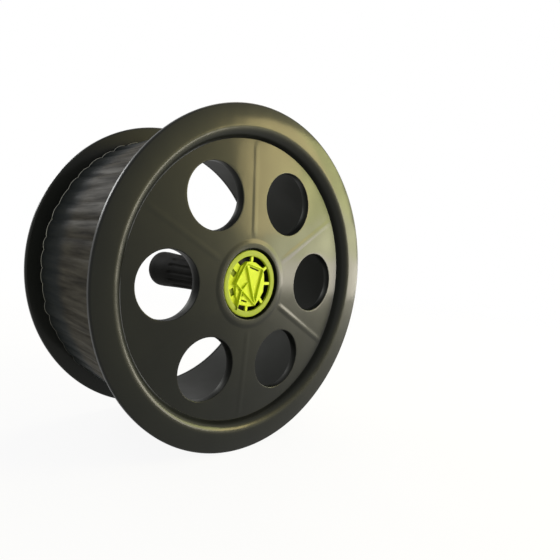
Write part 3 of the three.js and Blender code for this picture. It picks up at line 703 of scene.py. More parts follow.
@dataclass
class FrontFlange:
    """Front flange in one moulding: band, recess, coned web with six holes, ridges, hub boss."""

    sizes: ReelSizes
    recess_depth: float = 6.8
    web_radius: float = 93.7
    lip_round: float = 7.5
    wall_lean: float = 20.0
    web_thickness: float = 3.0
    web_rise: float = 4.2
    fillet: float = 0.1
    spigot_cut: float = 0.6
    hole_count: int = 6
    hole_circle: float = 63.4
    hole_radius: float = 21.3
    hole_collar_wall: float = 2.0
    hole_collar_depth: float = 6.4
    hole_collar_cut: float = 0.6
    hole_round: float = 0.5
    ridge_width: float = 6.5
    ridge_fade: float = 5.0
    ridge_heights: tuple[float, ...] = (0.2, 0.1, 0.08, 0.08, 0.12, 0.26)  # from 30 degrees on
    hub_radius: float = 23.8
    hub_wall: float = 3.4
    hub_cut: float = 0.5
    collar_rise: float = 0.3
    collar_round: float = 0.5
    collar_edge: float = 0.8  # from the wall in to where the collar comes level
    foot_radius: float = 30.2
    clip_groove: Point = (-46.6, -45.0)  # where it starts and stops along the axis
    clip_groove_depth: float = 0.9
    seat: Point = (15.3, -39.7)  # behind the carrier: its inner radius, its place along the axis
    seat_wall: float = 2.7
    matt_radius: float = 24.0  # of the hub's bore, up to where its rim turns
    matt_margin: float = 0.12  # round a hole's wall, into the rounding of its edge
    matt_foot: float = 4.0  # of the recess wall, up from the web
    arc_steps: int = 48
    hub_steps: int = 24
    side_steps: int = 26

    @property
    def collar_radius(self) -> float:
        """Outside of the collar round the hub opening, and of the boss behind it."""
        return self.hub_radius + self.hub_wall

    @property
    def lip_end(self) -> float:
        """Radius where the lip comes level: past the fillet, the leaning wall and its rounding."""
        lean, rounds = np.radians(self.wall_lean), self.lip_round + self.fillet
        wall = self.recess_depth - rounds * (1 - np.sin(lean))
        return float(self.web_radius + rounds * np.cos(lean) + wall * np.tan(lean))

    def cone(self, radius: Any) -> Any:
        """Front face of the web: it rises in a line towards the viewer, from recess to collar."""
        share = (self.web_radius - radius) / (self.web_radius - self.collar_radius)
        return self.sizes.lip_y + self.recess_depth - self.web_rise * share

    def front(self, x: np.ndarray, z: np.ndarray, k: int) -> np.ndarray:
        """Front face of the sixth round hole k, with its halves of two ridges.

        A ridge is a cosine bump across each line midway between two holes, and it fades out at
        both of its ends.

        Args:
            x: Places out from the axis, towards the hole's middle.
            z: Places across that direction.
            k: Which hole.

        Returns:
            Places along the axis.
        """
        radius = np.hypot(x, z)
        offset = np.pi / self.hole_count - np.abs(np.arctan2(z, x))
        across = np.clip(np.abs(radius * np.sin(offset)) / (self.ridge_width / 2), 0, 1)
        ends = smooth_step((radius - self.foot_radius) / self.ridge_fade)
        ends = ends * smooth_step((self.web_radius - radius) / self.ridge_fade)
        height = np.where(z > 0, self.ridge_heights[k], self.ridge_heights[k - 1])
        return self.cone(radius) - height * ends * (1 + np.cos(np.pi * across)) / 2

    def sector_edge(self) -> np.ndarray:
        """Edge of the sixth of the web round one hole, as rows of x and z, once round."""
        outer, inner, half = self.web_radius, self.foot_radius, np.pi / self.hole_count
        sides = (
            (outer, np.linspace(-half, half, self.arc_steps, endpoint=False)),
            (np.linspace(outer, inner, self.side_steps, endpoint=False), half),
            (inner, np.linspace(half, -half, self.hub_steps, endpoint=False)),
            (np.linspace(inner, outer, self.side_steps, endpoint=False), -half),
        )
        return np.vstack([np.column_stack([r * np.cos(a), r * np.sin(a)]) for r, a in sides])

    def sector(self, k: int) -> np.ndarray:
        """One sixth of the web, carried round hole k, before it is turned to its place.

        Each row runs round the hole. The rows go from the sector's edge at the back, over the
        turned-back collar and through the hole, round its front edge and out to the sector's
        edge again. Distances from the hole's middle are shared out between hole and edge.

        Args:
            k: Which hole.

        Returns:
            A grid of rows by points round the hole by three.
        """
        centre = np.array([self.hole_circle, 0.0])
        spokes = self.sector_edge() - centre
        reach = np.linalg.norm(spokes, axis=1)
        heading = spokes / reach[:, None]

        def at(distance: Any) -> np.ndarray:
            """Rows of x and z at one distance from the hole's middle, or one for each spoke."""
            return centre + heading * np.reshape(distance, (-1, 1))

        hole, edge, cut = self.hole_radius, self.hole_round, self.hole_collar_cut
        collar = hole + self.hole_collar_wall
        base = self.cone(self.hole_circle)
        end_y = base + self.hole_collar_depth
        rows = []
        for share in np.linspace(0, 1, 8):
            flat = at(reach + (collar + cut - reach) * share)
            rows.append(spread_out(flat, self.cone(np.hypot(*flat.T)) + self.web_thickness))
        for distance, along in (
            (collar, base + self.web_thickness + 2 * cut),
            (collar, end_y - 0.5), (collar - 0.2, end_y - 0.15), (collar - cut, end_y),
            (hole + cut, end_y), (hole + 0.15, end_y - 0.15), (hole, end_y - 0.5),
            (hole, base + 0.5 * self.hole_collar_depth),
        ):  # fmt: skip
            rows.append(spread_out(at(distance), along))
        brink = self.front(*at(hole + edge).T, k)
        for turn in np.radians(np.linspace(0, 90, 8)):
            out, down = edge * (1 - np.cos(turn)), edge * (1 - np.sin(turn))
            rows.append(spread_out(at(hole + out), brink + down))
        for share in 1 - (1 - np.linspace(0, 1, 30)[1:]) ** 2.1:  # closer together near the hole
            flat = at(hole + edge + (reach - hole - edge) * share)
            rows.append(spread_out(flat, self.front(*flat.T, k)))
        return np.stack(rows)

    def outer_section(self) -> np.ndarray:
        """Section from the web's front edge over the fillet, wall, lip and rim to its back edge."""
        s, cut = self.sizes, self.spigot_cut
        foot_y = self.cone(self.web_radius)
        back_y = foot_y + self.web_thickness
        corner = arc((self.web_radius, foot_y - self.fillet), self.fillet, 90, self.wall_lean, 9)
        band = s.band(self.lip_end, self.lip_round, self.wall_lean) + [0, s.lip_y]
        spigot = s.bore_radius - s.fit
        tail = [(spigot, s.band_back_y), (spigot, back_y - cut), (spigot - cut, back_y)]
        return np.vstack([corner, band, tail, [(self.web_radius, back_y)]])

    def inner_section(self) -> np.ndarray:
        """Section from the web's front edge over the collar, down the bore, back along the boss."""
        bore, wall, edge, cut = self.hub_radius, self.collar_radius, self.collar_round, self.hub_cut
        back_y = self.cone(self.foot_radius) + self.web_thickness
        crest_y = self.cone(wall) - self.collar_rise
        way = np.linspace(0, 1, 10)
        swell = self.foot_radius + (wall - self.collar_edge - self.foot_radius) * way
        rise = (crest_y - self.cone(swell)) * smooth_step(way)
        foot = np.column_stack([swell, self.cone(swell) + rise])
        inner = arc((bore + edge, crest_y + edge), edge, -90, -180, 6)
        (start, stop), groove = self.clip_groove, bore + self.clip_groove_depth
        seat, seat_y = self.seat
        end_y = seat_y + self.seat_wall
        rest = [
            (bore, start), (groove, start), (groove, stop), (bore, stop), (bore, seat_y),
            (seat, seat_y), (seat, end_y), (wall - cut, end_y), (wall, end_y - cut),
            (wall, back_y + 3 * cut), (wall + cut, back_y + cut), (self.foot_radius, back_y),
        ]  # fmt: skip
        return np.vstack([foot, inner, rest])

    def build(self) -> None:
        """Make the flange from six turned copies of a sector and two turned sections."""
        shell = Shell()
        for k, turn in enumerate(turns(self.hole_count)):
            x, y, z = np.moveaxis(self.sector(k), -1, 0)
            cos, sin = np.cos(turn), np.sin(turn)
            shell.grid(np.stack([x * cos - z * sin, y, x * sin + z * cos], axis=-1))
        half = np.pi / self.hole_count
        for section, steps in (
            (self.outer_section(), self.arc_steps),
            (self.inner_section(), self.hub_steps),
        ):
            shell.grid(revolved(section, turns(self.hole_count * steps) + half))
        flange = shell.piece("moulded_front_flange", MOULDING, Body.DRUM, "front_flange", sharp=30)
        flange.visible_glossy = False  # its wall would mirror in the web beside it
        self.spark_bores(flange.data)

    def spark_bores(self, mesh: bpy.types.Mesh) -> None:
        """Give the walls of hub and holes, and the foot of the recess, a spark-eroded matt."""
        centres = np.empty(3 * len(mesh.polygons))
        mesh.polygons.foreach_get("center", centres)
        x, y, z = centres.reshape(-1, 3).T / MM
        radius, step = np.hypot(x, z), TAU / self.hole_count
        turn = np.mod(np.arctan2(z, x) + step / 2, step) - step / 2
        from_hole = np.hypot(radius * np.cos(turn) - self.hole_circle, radius * np.sin(turn))
        inside = (radius < self.matt_radius) | (from_hole < self.hole_radius + self.matt_margin)
        above = self.sizes.lip_y + self.recess_depth - y
        foot = (radius > self.web_radius) & (np.abs(above) < self.matt_foot)
        mesh.materials.append(material_of(MATT_MOULDING))
        mesh.polygons.foreach_set("material_index", (inside | foot).astype(np.int32))


@dataclass
class Drum:
    """Rear flange, smooth barrel and the pleated liner round it."""

    sizes: ReelSizes
    segments: int = 288
    barrel_cut: float = 0.4
    sleeve_wall: float = 0.7
    seed: int = 8
    flute_depth: float = 1.3
    flute_count: int = 54
    flute_samples: int = 12
    depth_spread: float = 0.22
    depth_limits: Point = (0.5, 1.5)
    lean_spread: float = 0.10
    crease: float = 0.75
    swell: float = 0.15
    swell_waves: Point = (1.3, 2.0)  # along the liner's width, and by a flute's own depth
    turn_up: float = 0.7
    turn_up_from: float = 0.97  # share of the liner's width

    def rear_flange(self) -> None:
        """Make the plain ring with its rounded lip and rim, and the step for the barrel."""
        s = self.sizes
        band = s.band(s.bore_radius + s.rear_lip_round, s.rear_lip_round) * [1, -1] + [0, -s.lip_y]
        face_y, seat = -s.band_back_y, s.drum_radius + s.fit
        seat_y = face_y + s.seat_depth
        step = [(seat, face_y), (seat, seat_y), (s.bore_radius, seat_y)]
        shell = Shell().ring(np.vstack([band, step]), self.segments)
        shell.piece("moulded_rear_flange", MOULDING, Body.DRUM, "rear_flange", sharp=30)

    def barrel(self) -> None:
        """Make the barrel: a plain tube with edges broken by a small chamfer."""
        s, cut = self.sizes, self.barrel_cut
        inner, outer = s.bore_radius, s.drum_radius
        start, end = s.band_back_y + s.fit, -s.band_back_y + s.seat_depth - s.fit
        outline = [
            (inner + cut, start), (outer - cut, start), (outer, start + cut), (outer, end - cut),
            (outer - cut, end), (inner + cut, end), (inner, end - cut), (inner, start + cut),
        ]  # fmt: skip
        shell = Shell().ring(outline, self.segments)
        shell.piece("moulded_barrel", MATT_MOULDING, Body.DRUM, "drum_barrel", sharp=30)

    def liner(self) -> None:
        """Make the pleated film.

        Its radius is the sleeve's plus a share of the flute's depth: the sine of half the way
        round a flute, to a power below 1, so that crests are round and valleys are creased.
        Each flute has a depth and a lean of its own, and its rear edge turns up a little.
        """
        s = self.sizes
        chance = np.random.default_rng(self.seed)
        depth = 1 + self.depth_spread * chance.standard_normal(self.flute_count)
        lean = self.lean_spread * chance.standard_normal(self.flute_count + 1)
        lean[-1] = lean[0]
        place = np.arange(self.flute_count * self.flute_samples) / self.flute_samples
        flute = place.astype(int)
        way = place - flute
        body = np.linspace(s.band_back_y + 1.2, -s.band_back_y - 2.4, 22)
        rear = -s.band_back_y - s.fit - np.array([1.4, 0.8, 0.3, 0.0])
        along = np.concatenate([[s.band_back_y + s.fit], body, rear])[:, None]
        share = (along - along[0]) / (along[-1] - along[0])
        drift = (1 - way) * lean[flute] + way * lean[flute + 1]
        angle = (place + drift * (share - 0.5) * np.cos(3 * share)) * TAU / self.flute_count
        crest = np.abs(np.sin(np.pi * way)) ** self.crease
        along_waves, depth_waves = self.swell_waves
        wave = np.cos(TAU * (share * along_waves + depth[flute] * depth_waves))
        swell = 1 - self.swell + self.swell * wave
        end = np.clip((share - self.turn_up_from) / (1 - self.turn_up_from), 0, 1)
        inner = s.drum_radius + s.fit
        height = self.flute_depth * np.clip(depth[flute], *self.depth_limits) * crest * swell
        radius = inner + self.sleeve_wall + height + self.turn_up * end**2
        skin = wrapped(radius, along, angle)
        bore = np.array([(inner, along[-1, 0]), (inner, along[0, 0])])
        grid = np.concatenate([skin, revolved(bore, angle.mean(axis=0))])
        shell = Shell().grid(grid, close_rows=True)
        shell.piece("pleated_liner", FILM, Body.DRUM, "fluted_liner", sharp=50)

    def build(self) -> None:
        """Make the three pieces of the drum."""
        self.rear_flange()
        self.barrel()
        self.liner()


@dataclass
class HubCap:
    """Lime cap in the hub: a ring on a skirt, an eight-sided plate with windows, raised ribs."""

    ring_front: float = -53.606
    outer_radius: float = 22.5
    ring_width: float = 4.1
    ring_thickness: float = 1.4
    ring_round: float = 0.6
    depth: float = 6.4
    skirt_wall: float = 1.8
    plate_drop: float = 0.4
    plate_thickness: float = 1.6
    panel_drop: float = 1.4
    panel_sweep: Point = (129.0, 240.0)  # degrees
    spoke_drop: float = 0.55
    spoke_width: float = 1.9
    spoke_start: float = 11.0
    rib_height: float = 0.9
    rib_foot: float = 1.7
    rib_crest: float = 0.8
    rib_edge: float = 0.2
    back_plate: Point = (2.35, 2.95)  # behind the ring's front
    sharp: float = 25.0

    SPOKES: ClassVar = (87.0, 38.0, 0.0, -46.0, -95.0)
    PLATE: ClassVar = (
        (-8.6, 11.6), (-4.6, 14.6), (-0.4, 14.9), (4.4, 14.2), (10.6, 10.6), (12.6, 6.6),
        (13.4, 0.6), (12.8, -6.0), (9.8, -10.6), (6.0, -15.0), (0.6, -15.4), (-3.6, -14.6),
        (-8.4, -13.8), (-11.6, -8.0), (-12.4, 0.0), (-11.0, 6.6),
    )  # fmt: skip
    PANEL_EDGE: ClassVar = ((-6.0, -10.0), (-5.0, 0.0), (-6.0, 10.0))
    TIPS: ClassVar = {
        "top": (-4.6, 14.0),
        "right": (10.8, 9.8),
        "bottom": (5.0, -14.2),
        "left": (-12.4, 0.6),
        "fork": (-7.4, -4.2),
        "foot": (-10.6, -16.6),
        "stem": (-2.6, 0.4),
    }
    RIBS: ClassVar = (
        ("top", "right"), ("right", "bottom"), ("bottom", "left"), ("left", "top"),
        ("top", "bottom"), ("fork", "foot"), ("fork", "stem"),
    )  # fmt: skip
    SLOTS: ClassVar = (  # start, end, width
        ((-0.8, 11.2), (7.6, 8.6), 1.1),
        ((-9.4, -3.4), (-8.6, -4.4), 1.1),
        ((-6.4, -6.6), (-5.8, -8.4), 1.1),
        ((-6.6, -10.8), (-1.6, -12.2), 1.1),
        ((-15.8, 8.6), (-12.2, 5.8), 4.0),
        ((-15.2, -3.0), (-13.2, -7.6), 3.4),
    )

    def ring_outline(self) -> np.ndarray:
        """Section of the ring, its front edges rounded, and of the skirt behind it."""
        front, outer, edge = self.ring_front, self.outer_radius, self.ring_round
        inner, skirt = outer - self.ring_width, outer - self.skirt_wall
        back, end = front + self.ring_thickness, front + self.depth
        corners = [
            arc((inner + edge, front + edge), edge, 180, 270, 5),
            arc((outer - edge, front + edge), edge, -90, 0, 5),
        ]
        return np.vstack([*corners, [(outer, end), (skirt, end), (skirt, back), (inner, back)]])

    def star(self, shell: Shell) -> None:
        """Add the plate, its spokes, the low panel at the left, and the ribs with their tips."""
        ring_y, plate_y = self.ring_front, self.ring_front + self.plate_drop
        back_y = plate_y + self.plate_thickness
        middle = self.outer_radius - self.ring_width / 2
        shell.slab(np.array(self.PLATE), plate_y, back_y)
        spoke = oblong(self.spoke_width, ring_y + self.spoke_drop, back_y - 0.1)
        for turn in np.radians(self.SPOKES):
            way = np.array([np.cos(turn), np.sin(turn)])
            shell.bar(spoke, way * self.spoke_start, way * middle)
        sweep = np.radians(np.linspace(*self.panel_sweep, 36))
        curve = middle * np.column_stack([np.cos(sweep), np.sin(sweep)])
        panel = np.vstack([curve, self.PANEL_EDGE])
        front, back = self.back_plate
        shell.slab(panel, ring_y + self.panel_drop, back_y + 0.15)
        # the slab behind the windows lies deep enough for the lime's painted shade to darken it
        shell.slab(panel, ring_y + front, ring_y + back)
        foot, crest = plate_y + self.plate_thickness / 2, ring_y - self.rib_height
        half, top, edge = self.rib_foot / 2, self.rib_crest / 2, self.rib_edge
        side = [(top - edge, crest), (top, crest + edge), (half, foot)]
        rib = np.array([(-x, y) for x, y in side[::-1]] + side)
        for start, end in self.RIBS:
            shell.bar(rib, self.TIPS[start], self.TIPS[end])
        tip = revolved(np.array([(0, crest), *side, (0, foot)]), turns(20))
        for x, z in self.TIPS.values():
            shell.grid(tip + [x, 0, z])

    def cutters(self) -> Shell:
        """Make the bars that cut the slots through plate and panel."""
        front = self.ring_front - self.rib_height / 3
        back = self.ring_front + self.back_plate[0] - 0.05
        shell = Shell()
        for start, end, width in self.SLOTS:
            shell.bar(oblong(width, front, back), start, end)
        return shell

    def build(self) -> None:
        """Make the cap, and cut its slots."""
        shell = Shell().ring(self.ring_outline(), 128)
        self.star(shell)
        cap = shell.piece("lime_hub_cap", LIME, Body.DRUM, "hub_cap", sharp=self.sharp)
        tool = placed("slot_cutters", self.cutters().mesh("slot_cutters"))
        cut = cap.modifiers.new("slots", "BOOLEAN")
        cut.object, cut.solver, cut.use_self = tool, "EXACT", True
        evaluated = cap.evaluated_get(bpy.context.evaluated_depsgraph_get())
        shaped = bpy.data.meshes.new_from_object(evaluated)
        cap.modifiers.clear()
        cap.data = shaped
        bpy.data.objects.remove(tool)
        shade(shaped, self.sharp)


@dataclass
class Hub:
    """Bearing carrier, two ball bearings and the hardware that clamps them."""

    segments: int = 96
    front_bearing: float = -43.0
    rear_bearing: float = -30.0
    bearing_width: float = 7.0
    bearing_radius: float = 11.0
    bearing_cut: float = 0.3
    bore_radius: float = 4.0
    pitch_radius: float = 7.5
    ball_radius: float = 1.985
    balls: int = 7
    clearance: float = 0.2
    inner_shoulder: float = 6.05
    outer_shoulder: float = 9.25
    fit: float = 0.3
    carrier_front: float = -45.5
    carrier_radius: float = 23.5
    carrier_tube: float = 15.0
    carrier_flange: float = 5.5
    carrier_cut: float = 0.5
    carrier_fillet: float = 1.2
    shoulder_height: float = 1.7
    washer_radius: float = 8.0
    washer_thickness: float = 1.6
    washer_round: float = 0.5
    across_flats: float = 13.0
    corner_cut: float = 0.3  # by which a hexagon's end face is less than its flats
    corner_slope: float = 1.75  # of the cone that cuts its corners
    shank: float = 3.9
    shank_cut: float = 0.4
    bolt_ends: Point = (-50.2, 49.9)
    bolt_neck: float = -45.2
    thread_start: float = 36.0
    thread_pitch: float = 1.25
    thread_depth: float = 0.6
    nut_ends: Point = (39.9, 47.9)

    WASHERS: ClassVar = {"head_washer": -44.9, "handle_washer": -22.7, "nut_washer": 38.0}

    def race(self, shoulder: float, start: float) -> np.ndarray:
        """Section of one raceway: an arc round the ball's middle, from shoulder to shoulder.

        Args:
            shoulder: Radius of the ring's shoulders, on either side of the pitch circle.
            start: Place of the bearing's front face along the axis.

        Returns:
            Rows of radius and y, from front to back.
        """
        radius = self.ball_radius + self.clearance
        reach = np.degrees(np.arccos(abs(shoulder - self.pitch_radius) / radius))
        middle = (self.pitch_radius, start + self.bearing_width / 2)
        if shoulder > self.pitch_radius:
            return arc(middle, radius, -reach, reach, 14)
        return arc(middle, radius, 180 + reach, 180 - reach, 14)

    def bearing_ring(
        self, node: str, start: float, wall: float, shoulder: float, body: Body
    ) -> None:
        """Make one ring of a bearing, its edges broken.

        Args:
            node: Its CAD node.
            start: Place of its front face along the axis.
            wall: Radius of its plain face.
            shoulder: Radius of the face that holds the raceway.
            body: The body that it rides on.
        """
        end, cut = start + self.bearing_width, self.bearing_cut
        inset = cut if wall > shoulder else -cut
        outline = [
            (shoulder + inset, start), (wall - inset, start), (wall, start + cut),
            (wall, end - cut), (wall - inset, end), (shoulder + inset, end),
            (shoulder, end - cut), *self.race(shoulder, start)[::-1], (shoulder, start + cut),
        ]  # fmt: skip
        Shell().ring(outline, self.segments).piece(f"ground_{node}", GROUND, body, node)

    def bearing(self, prefix: str, start: float, body: Body) -> None:
        """Make one bearing: both rings, and the balls in one piece.

        Args:
            prefix: Which bearing, as its CAD nodes call it.
            start: Place of its front face along the axis.
            body: The body that its balls ride on.
        """
        outer, bore = self.bearing_radius, self.bore_radius
        self.bearing_ring(f"{prefix}_outer_ring", start, outer, self.outer_shoulder, Body.DRUM)
        self.bearing_ring(f"{prefix}_inner_ring", start, bore, self.inner_shoulder, Body.HANDLE)
        section = arc((0, 0), self.ball_radius, -90, 90, 14)
        section[[0, -1], 0] = 0
        ball = revolved(section, turns(28))
        middle = np.array([[self.pitch_radius, start + self.bearing_width / 2]])
        shell = Shell()
        for place in revolved(middle, turns(self.balls))[0]:
            shell.grid(ball + place)
        nodes = [f"{prefix}_ball_{k + 1}" for k in range(self.balls)]
        shell.piece(f"polished_{prefix}_balls", GROUND, body, *nodes, sharp=60)

    def carrier(self) -> None:
        """Make the carrier: a flanged cup with a seat for each bearing and a shoulder between."""
        front, cut, fillet = self.carrier_front, self.carrier_cut, self.carrier_fillet
        cup, tube, seat = self.carrier_radius, self.carrier_tube, self.bearing_radius + self.fit
        back, end = front + self.carrier_flange, self.rear_bearing + self.bearing_width + 0.8
        shoulder = seat - self.shoulder_height
        start = self.front_bearing + self.bearing_width + self.fit
        stop = self.rear_bearing - self.fit
        outline = [
            (seat + cut, front), (cup - cut, front), (cup, front + cut), (cup, back - cut),
            (cup - cut, back), (tube + fillet, back), (tube + 0.35, back + 0.35),
            (tube, back + fillet), (tube, end - cut), (tube - cut, end), (seat + cut, end),
            (seat, end - cut), (seat, stop), (shoulder, stop), (shoulder, start), (seat, start),
            (seat, front + cut),
        ]  # fmt: skip
        shell = Shell().ring(outline, 160)
        shell.piece("moulded_bearing_carrier", NYLON, Body.DRUM, "bearing_carrier", sharp=30)

    def washer(self, node: str, start: float) -> None:
        """Make one washer, with its stamped front edge rounded and its back edge sharp.

        Args:
            node: Its CAD node.
            start: Place of its front face along the axis.
        """
        cut, edge = self.clearance, self.washer_round
        bore, outer, end = self.bore_radius + cut, self.washer_radius, start + self.washer_thickness
        front = arc((outer - edge, start + edge), edge, -90, 0, 4)
        outline = [(bore, start + cut), (bore + cut, start), *front, (outer, end), (bore, end)]
        Shell().ring(outline, self.segments).piece(f"plated_{node}", ZINC, Body.HANDLE, node)

    def hexagon(self, angles: np.ndarray, depth: float) -> np.ndarray:
        """Radius of a head or nut by angle: the lesser of a hexagon and a cone.

        The hexagon is the apothem over the cosine from the nearest flat's middle. The cone cuts
        its corners.

        Args:
            angles: Angles round the axis in radians.
            depth: Distance from the nearest end face.

        Returns:
            The radii.
        """
        sixth, flat = np.pi / 3, self.across_flats / 2
        corners = flat / np.cos(np.mod(angles, sixth) - sixth / 2)
        return np.minimum(corners, flat - self.corner_cut + depth * self.corner_slope)

    def bolt(self) -> None:
        """Make the bolt: a head with cut corners, and a shank whose end carries a thread.

        The thread's radius falls and rises once for each pitch along the axis less the turn
        round it.
        """
        around, shank, cut = turns(self.segments), self.shank, self.shank_cut
        (head, end), neck = self.bolt_ends, self.bolt_neck
        full = self.hexagon(around, neck - head)
        rows = [(0, head), (self.across_flats / 2 - self.corner_cut, head)]
        rows += [(self.hexagon(around, depth), head + depth) for depth in (0.15, 0.35, 0.6, 0.9)]
        rows += [(full, neck - 0.2), (full - 0.2, neck), (shank + cut, neck), (shank, neck + cut)]
        rows.append((shank, self.thread_start))
        for along in np.arange(self.thread_start + cut, end - 0.9, self.thread_pitch / 8):
            wave = np.mod(along / self.thread_pitch - around / TAU, 1)
            rows.append((shank - self.thread_depth * np.abs(2 * wave - 1), along))
        rows += [(shank - 1.1, end), (0, end)]
        shell = Shell().grid(stacked(rows, around))
        shell.piece("plated_spindle_bolt", ZINC, Body.HANDLE, "spindle_bolt", sharp=25)

    def nut(self) -> None:
        """Make the nut: a hexagon cut by a cone at both ends, with a plain bore."""
        around, cut, depths = turns(self.segments), self.shank_cut, (0, 0.3, 0.6, 0.9)
        (start, end), bore = self.nut_ends, self.bore_radius + self.clearance
        rows = [(bore, start + cut), (bore + cut, start)]
        rows += [(self.hexagon(around, depth), start + depth) for depth in depths]
        rows += [(self.hexagon(around, depth), end - depth) for depth in depths[::-1]]
        rows += [(bore + cut, end), (bore, end - cut)]
        shell = Shell().grid(stacked(rows, around), close_rows=True)
        shell.piece("plated_lock_nut", ZINC, Body.HANDLE, "lock_nut", sharp=25)

    def build(self) -> None:
        """Make the hub's pieces, and dress the clip, spacer and cages that stay as they are."""
        self.carrier()
        self.bearing("front_bearing", self.front_bearing, Body.FRONT_BALLS)
        self.bearing("rear_bearing", self.rear_bearing, Body.REAR_BALLS)
        for node, start in self.WASHERS.items():
            self.washer(node, start)
        self.bolt()
        self.nut()
        dress("retaining_clip", PHOSPHATE)
        dress("bearing_spacer", ZINC)
        dress("front_bearing_cage", GROUND)
        dress("rear_bearing_cage", GROUND)


@dataclass
class Handle:
    """Rigid core, rubber grip with a guard, grooves and a swelling, and the end cap."""

    segments: int = 96
    core_ends: Point = (-20.8, 54.7)
    core_radius: float = 9.5
    core_bore: float = 4.4
    core_cut: float = 0.4
    pocket_radius: float = 8.4
    pocket_start: float = 37.7
    cap_ends: Point = (55.0, 57.0)
    plug_wall: float = 1.6
    plug_depth: float = 4.0
    grip_ends: Point = (-18.0, 57.5)
    guard_radius: float = 15.0
    guard_length: float = 4.0
    guard_rounds: Point = (1.0, 0.6)
    waist_radius: float = 12.1
    waist_y: float = -5.0
    end_radius: float = 14.3
    end_round: float = 2.4
    end_straight: float = 4.8
    grooves: int = 14
    groove_depth: float = 0.9
    groove_length: float = 34.0
    groove_fade: float = 5.0
    groove_samples: int = 14

    def core(self) -> None:
        """Make the core: a tube whose rear pocket holds the nut, with its edges broken."""
        r, bore, cut = self.core_radius, self.core_bore, self.core_cut
        (start, end), pocket, floor = self.core_ends, self.pocket_radius, self.pocket_start
        outline = [
            (bore, start + cut), (bore + cut, start), (r - cut, start), (r, start + cut),
            (r, end - cut), (r - cut, end), (pocket, end), (pocket, floor), (bore, floor),
        ]  # fmt: skip
        shell = Shell().ring(outline, self.segments)
        shell.piece("moulded_handle_core", NYLON, Body.HANDLE, "handle_core", sharp=30)

    def end_cap(self) -> None:
        """Make the end cap: a disc with a shallow dish and a ring that plugs into the pocket."""
        (start, end), r, cut = self.cap_ends, self.core_radius, 0.3
        plug, tip = self.pocket_radius - cut, start - self.plug_depth
        inner = plug - self.plug_wall
        outline = [
            (0, start), (inner, start), (inner, tip + cut), (inner + cut, tip),
            (plug - cut, tip), (plug, tip + cut), (plug, start), (r, start), (r, end - 0.5),
            (r - 0.15, end - 0.15), (r - 0.5, end), (r - 1.8, end), (r - 2.3, end - 0.35),
            (0, end - 0.5),
        ]  # fmt: skip
        shell = Shell().grid(revolved(np.array(outline), turns(self.segments)))
        shell.piece("moulded_end_cap", NYLON, Body.HANDLE, "handle_end_cap", sharp=30)

    def grip_outline(self) -> np.ndarray:
        """Section of the grip: a curve through guard, waist and end, and the plain bore."""
        start, stop = self.grip_ends
        guard_end, end_y = start + self.guard_length, stop - self.end_round
        inner, wide, waist = self.core_radius + 0.3, self.guard_radius, self.waist_radius
        front, back = self.guard_rounds
        flare, way = np.linspace(0, 1, 9)[1:], np.linspace(0, 1, 40)[1:]
        fall = guard_end + (self.waist_y - guard_end) * flare
        drop = waist + (wide - waist) * (1 - smooth_step(flare**0.6))
        body_y = self.waist_y + (end_y - self.end_straight - self.waist_y) * way
        body_r = waist + (self.end_radius - waist) * way**1.65
        parts = [
            [(inner + 0.3, start)],
            arc((wide - front, start + front), front, -90, 0, 5),
            arc((wide - back, guard_end - back), back, 0, 60, 4),
            np.column_stack([drop, fall]),
            np.column_stack([body_r, body_y]),
            arc((self.end_radius - self.end_round, end_y), self.end_round, 0, 90, 9),
            [(inner + 0.6, stop), (inner, stop - 0.6), (inner, start + 0.3)],
        ]
        return np.vstack(parts)

    def grip(self) -> None:
        """Make the grip.

        The grooves take away a share of the cosine of the way round, which fades out at both
        ends of each groove.
        """
        outline, fade = self.grip_outline(), self.groove_fade
        around = turns(self.grooves * self.groove_samples)
        plain, along = outline[:, :1], outline[:, 1:]
        start, stop = self.waist_y - 2, self.waist_y + self.groove_length + 2
        reach = smooth_step((along - start) / fade) * smooth_step((stop - along) / fade)
        outside = plain > self.core_radius + 1.3
        outside &= along < self.grip_ends[1] - self.end_round
        hollow = np.clip(np.cos(self.grooves * around), 0, 1) ** 0.8
        radius = plain - self.groove_depth * reach * outside * hollow
        shell = Shell().grid(wrapped(radius, along, around), close_rows=True)
        shell.piece("moulded_handle_grip", RUBBER, Body.HANDLE, "handle_grip", sharp=40)

    def build(self) -> None:
        """Make the handle's three pieces."""
        self.core()
        self.end_cap()
        self.grip()


def dress(node: str, finish: Finish) -> None:
    """Give a CAD node that stays visible its finish, in every slot of its object."""
    obj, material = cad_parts[node], material_of(finish)
    if not obj.material_slots:
        obj.data.materials.append(material)
    for holder in obj.material_slots:
        holder.material = material
    log.info("%s: CAD node kept, dressed in %s", node, material.name)


# ----------------------------------------
# Stage


@dataclass(frozen=True)
class Lamp:
    """One soft box that faces the middle of the reel's front, by its direction from there.

    The azimuth is in degrees from the reel's forward axis, -Y, towards +X, and the elevation
    is in degrees up. Distance and size are in metres.
    """

    name: str
    azimuth: float
    elevation: float
    distance: float
    size: Point
    watts: float
    tint: str = "#ffffff"

    def build(self) -> None:
        """Make the lamp and turn it towards the reel."""
        data = bpy.data.lights.new(self.name, "AREA")
        data.shape = "RECTANGLE"
        data.size, data.size_y = self.size
        data.energy = self.watts
        data.color = linear(self.tint)[:3]
        obj = placed(self.name, data)
        obj.visible_camera = False
        turn, rise = np.radians((self.azimuth, self.elevation))
        away = Vector((np.sin(turn) * np.cos(rise), -np.cos(turn) * np.cos(rise), np.sin(rise)))
        obj.location = Vector(FRONT_MIDDLE) + self.distance * away
        obj.rotation_euler = (-away).to_track_quat("-Z", "Y").to_euler()


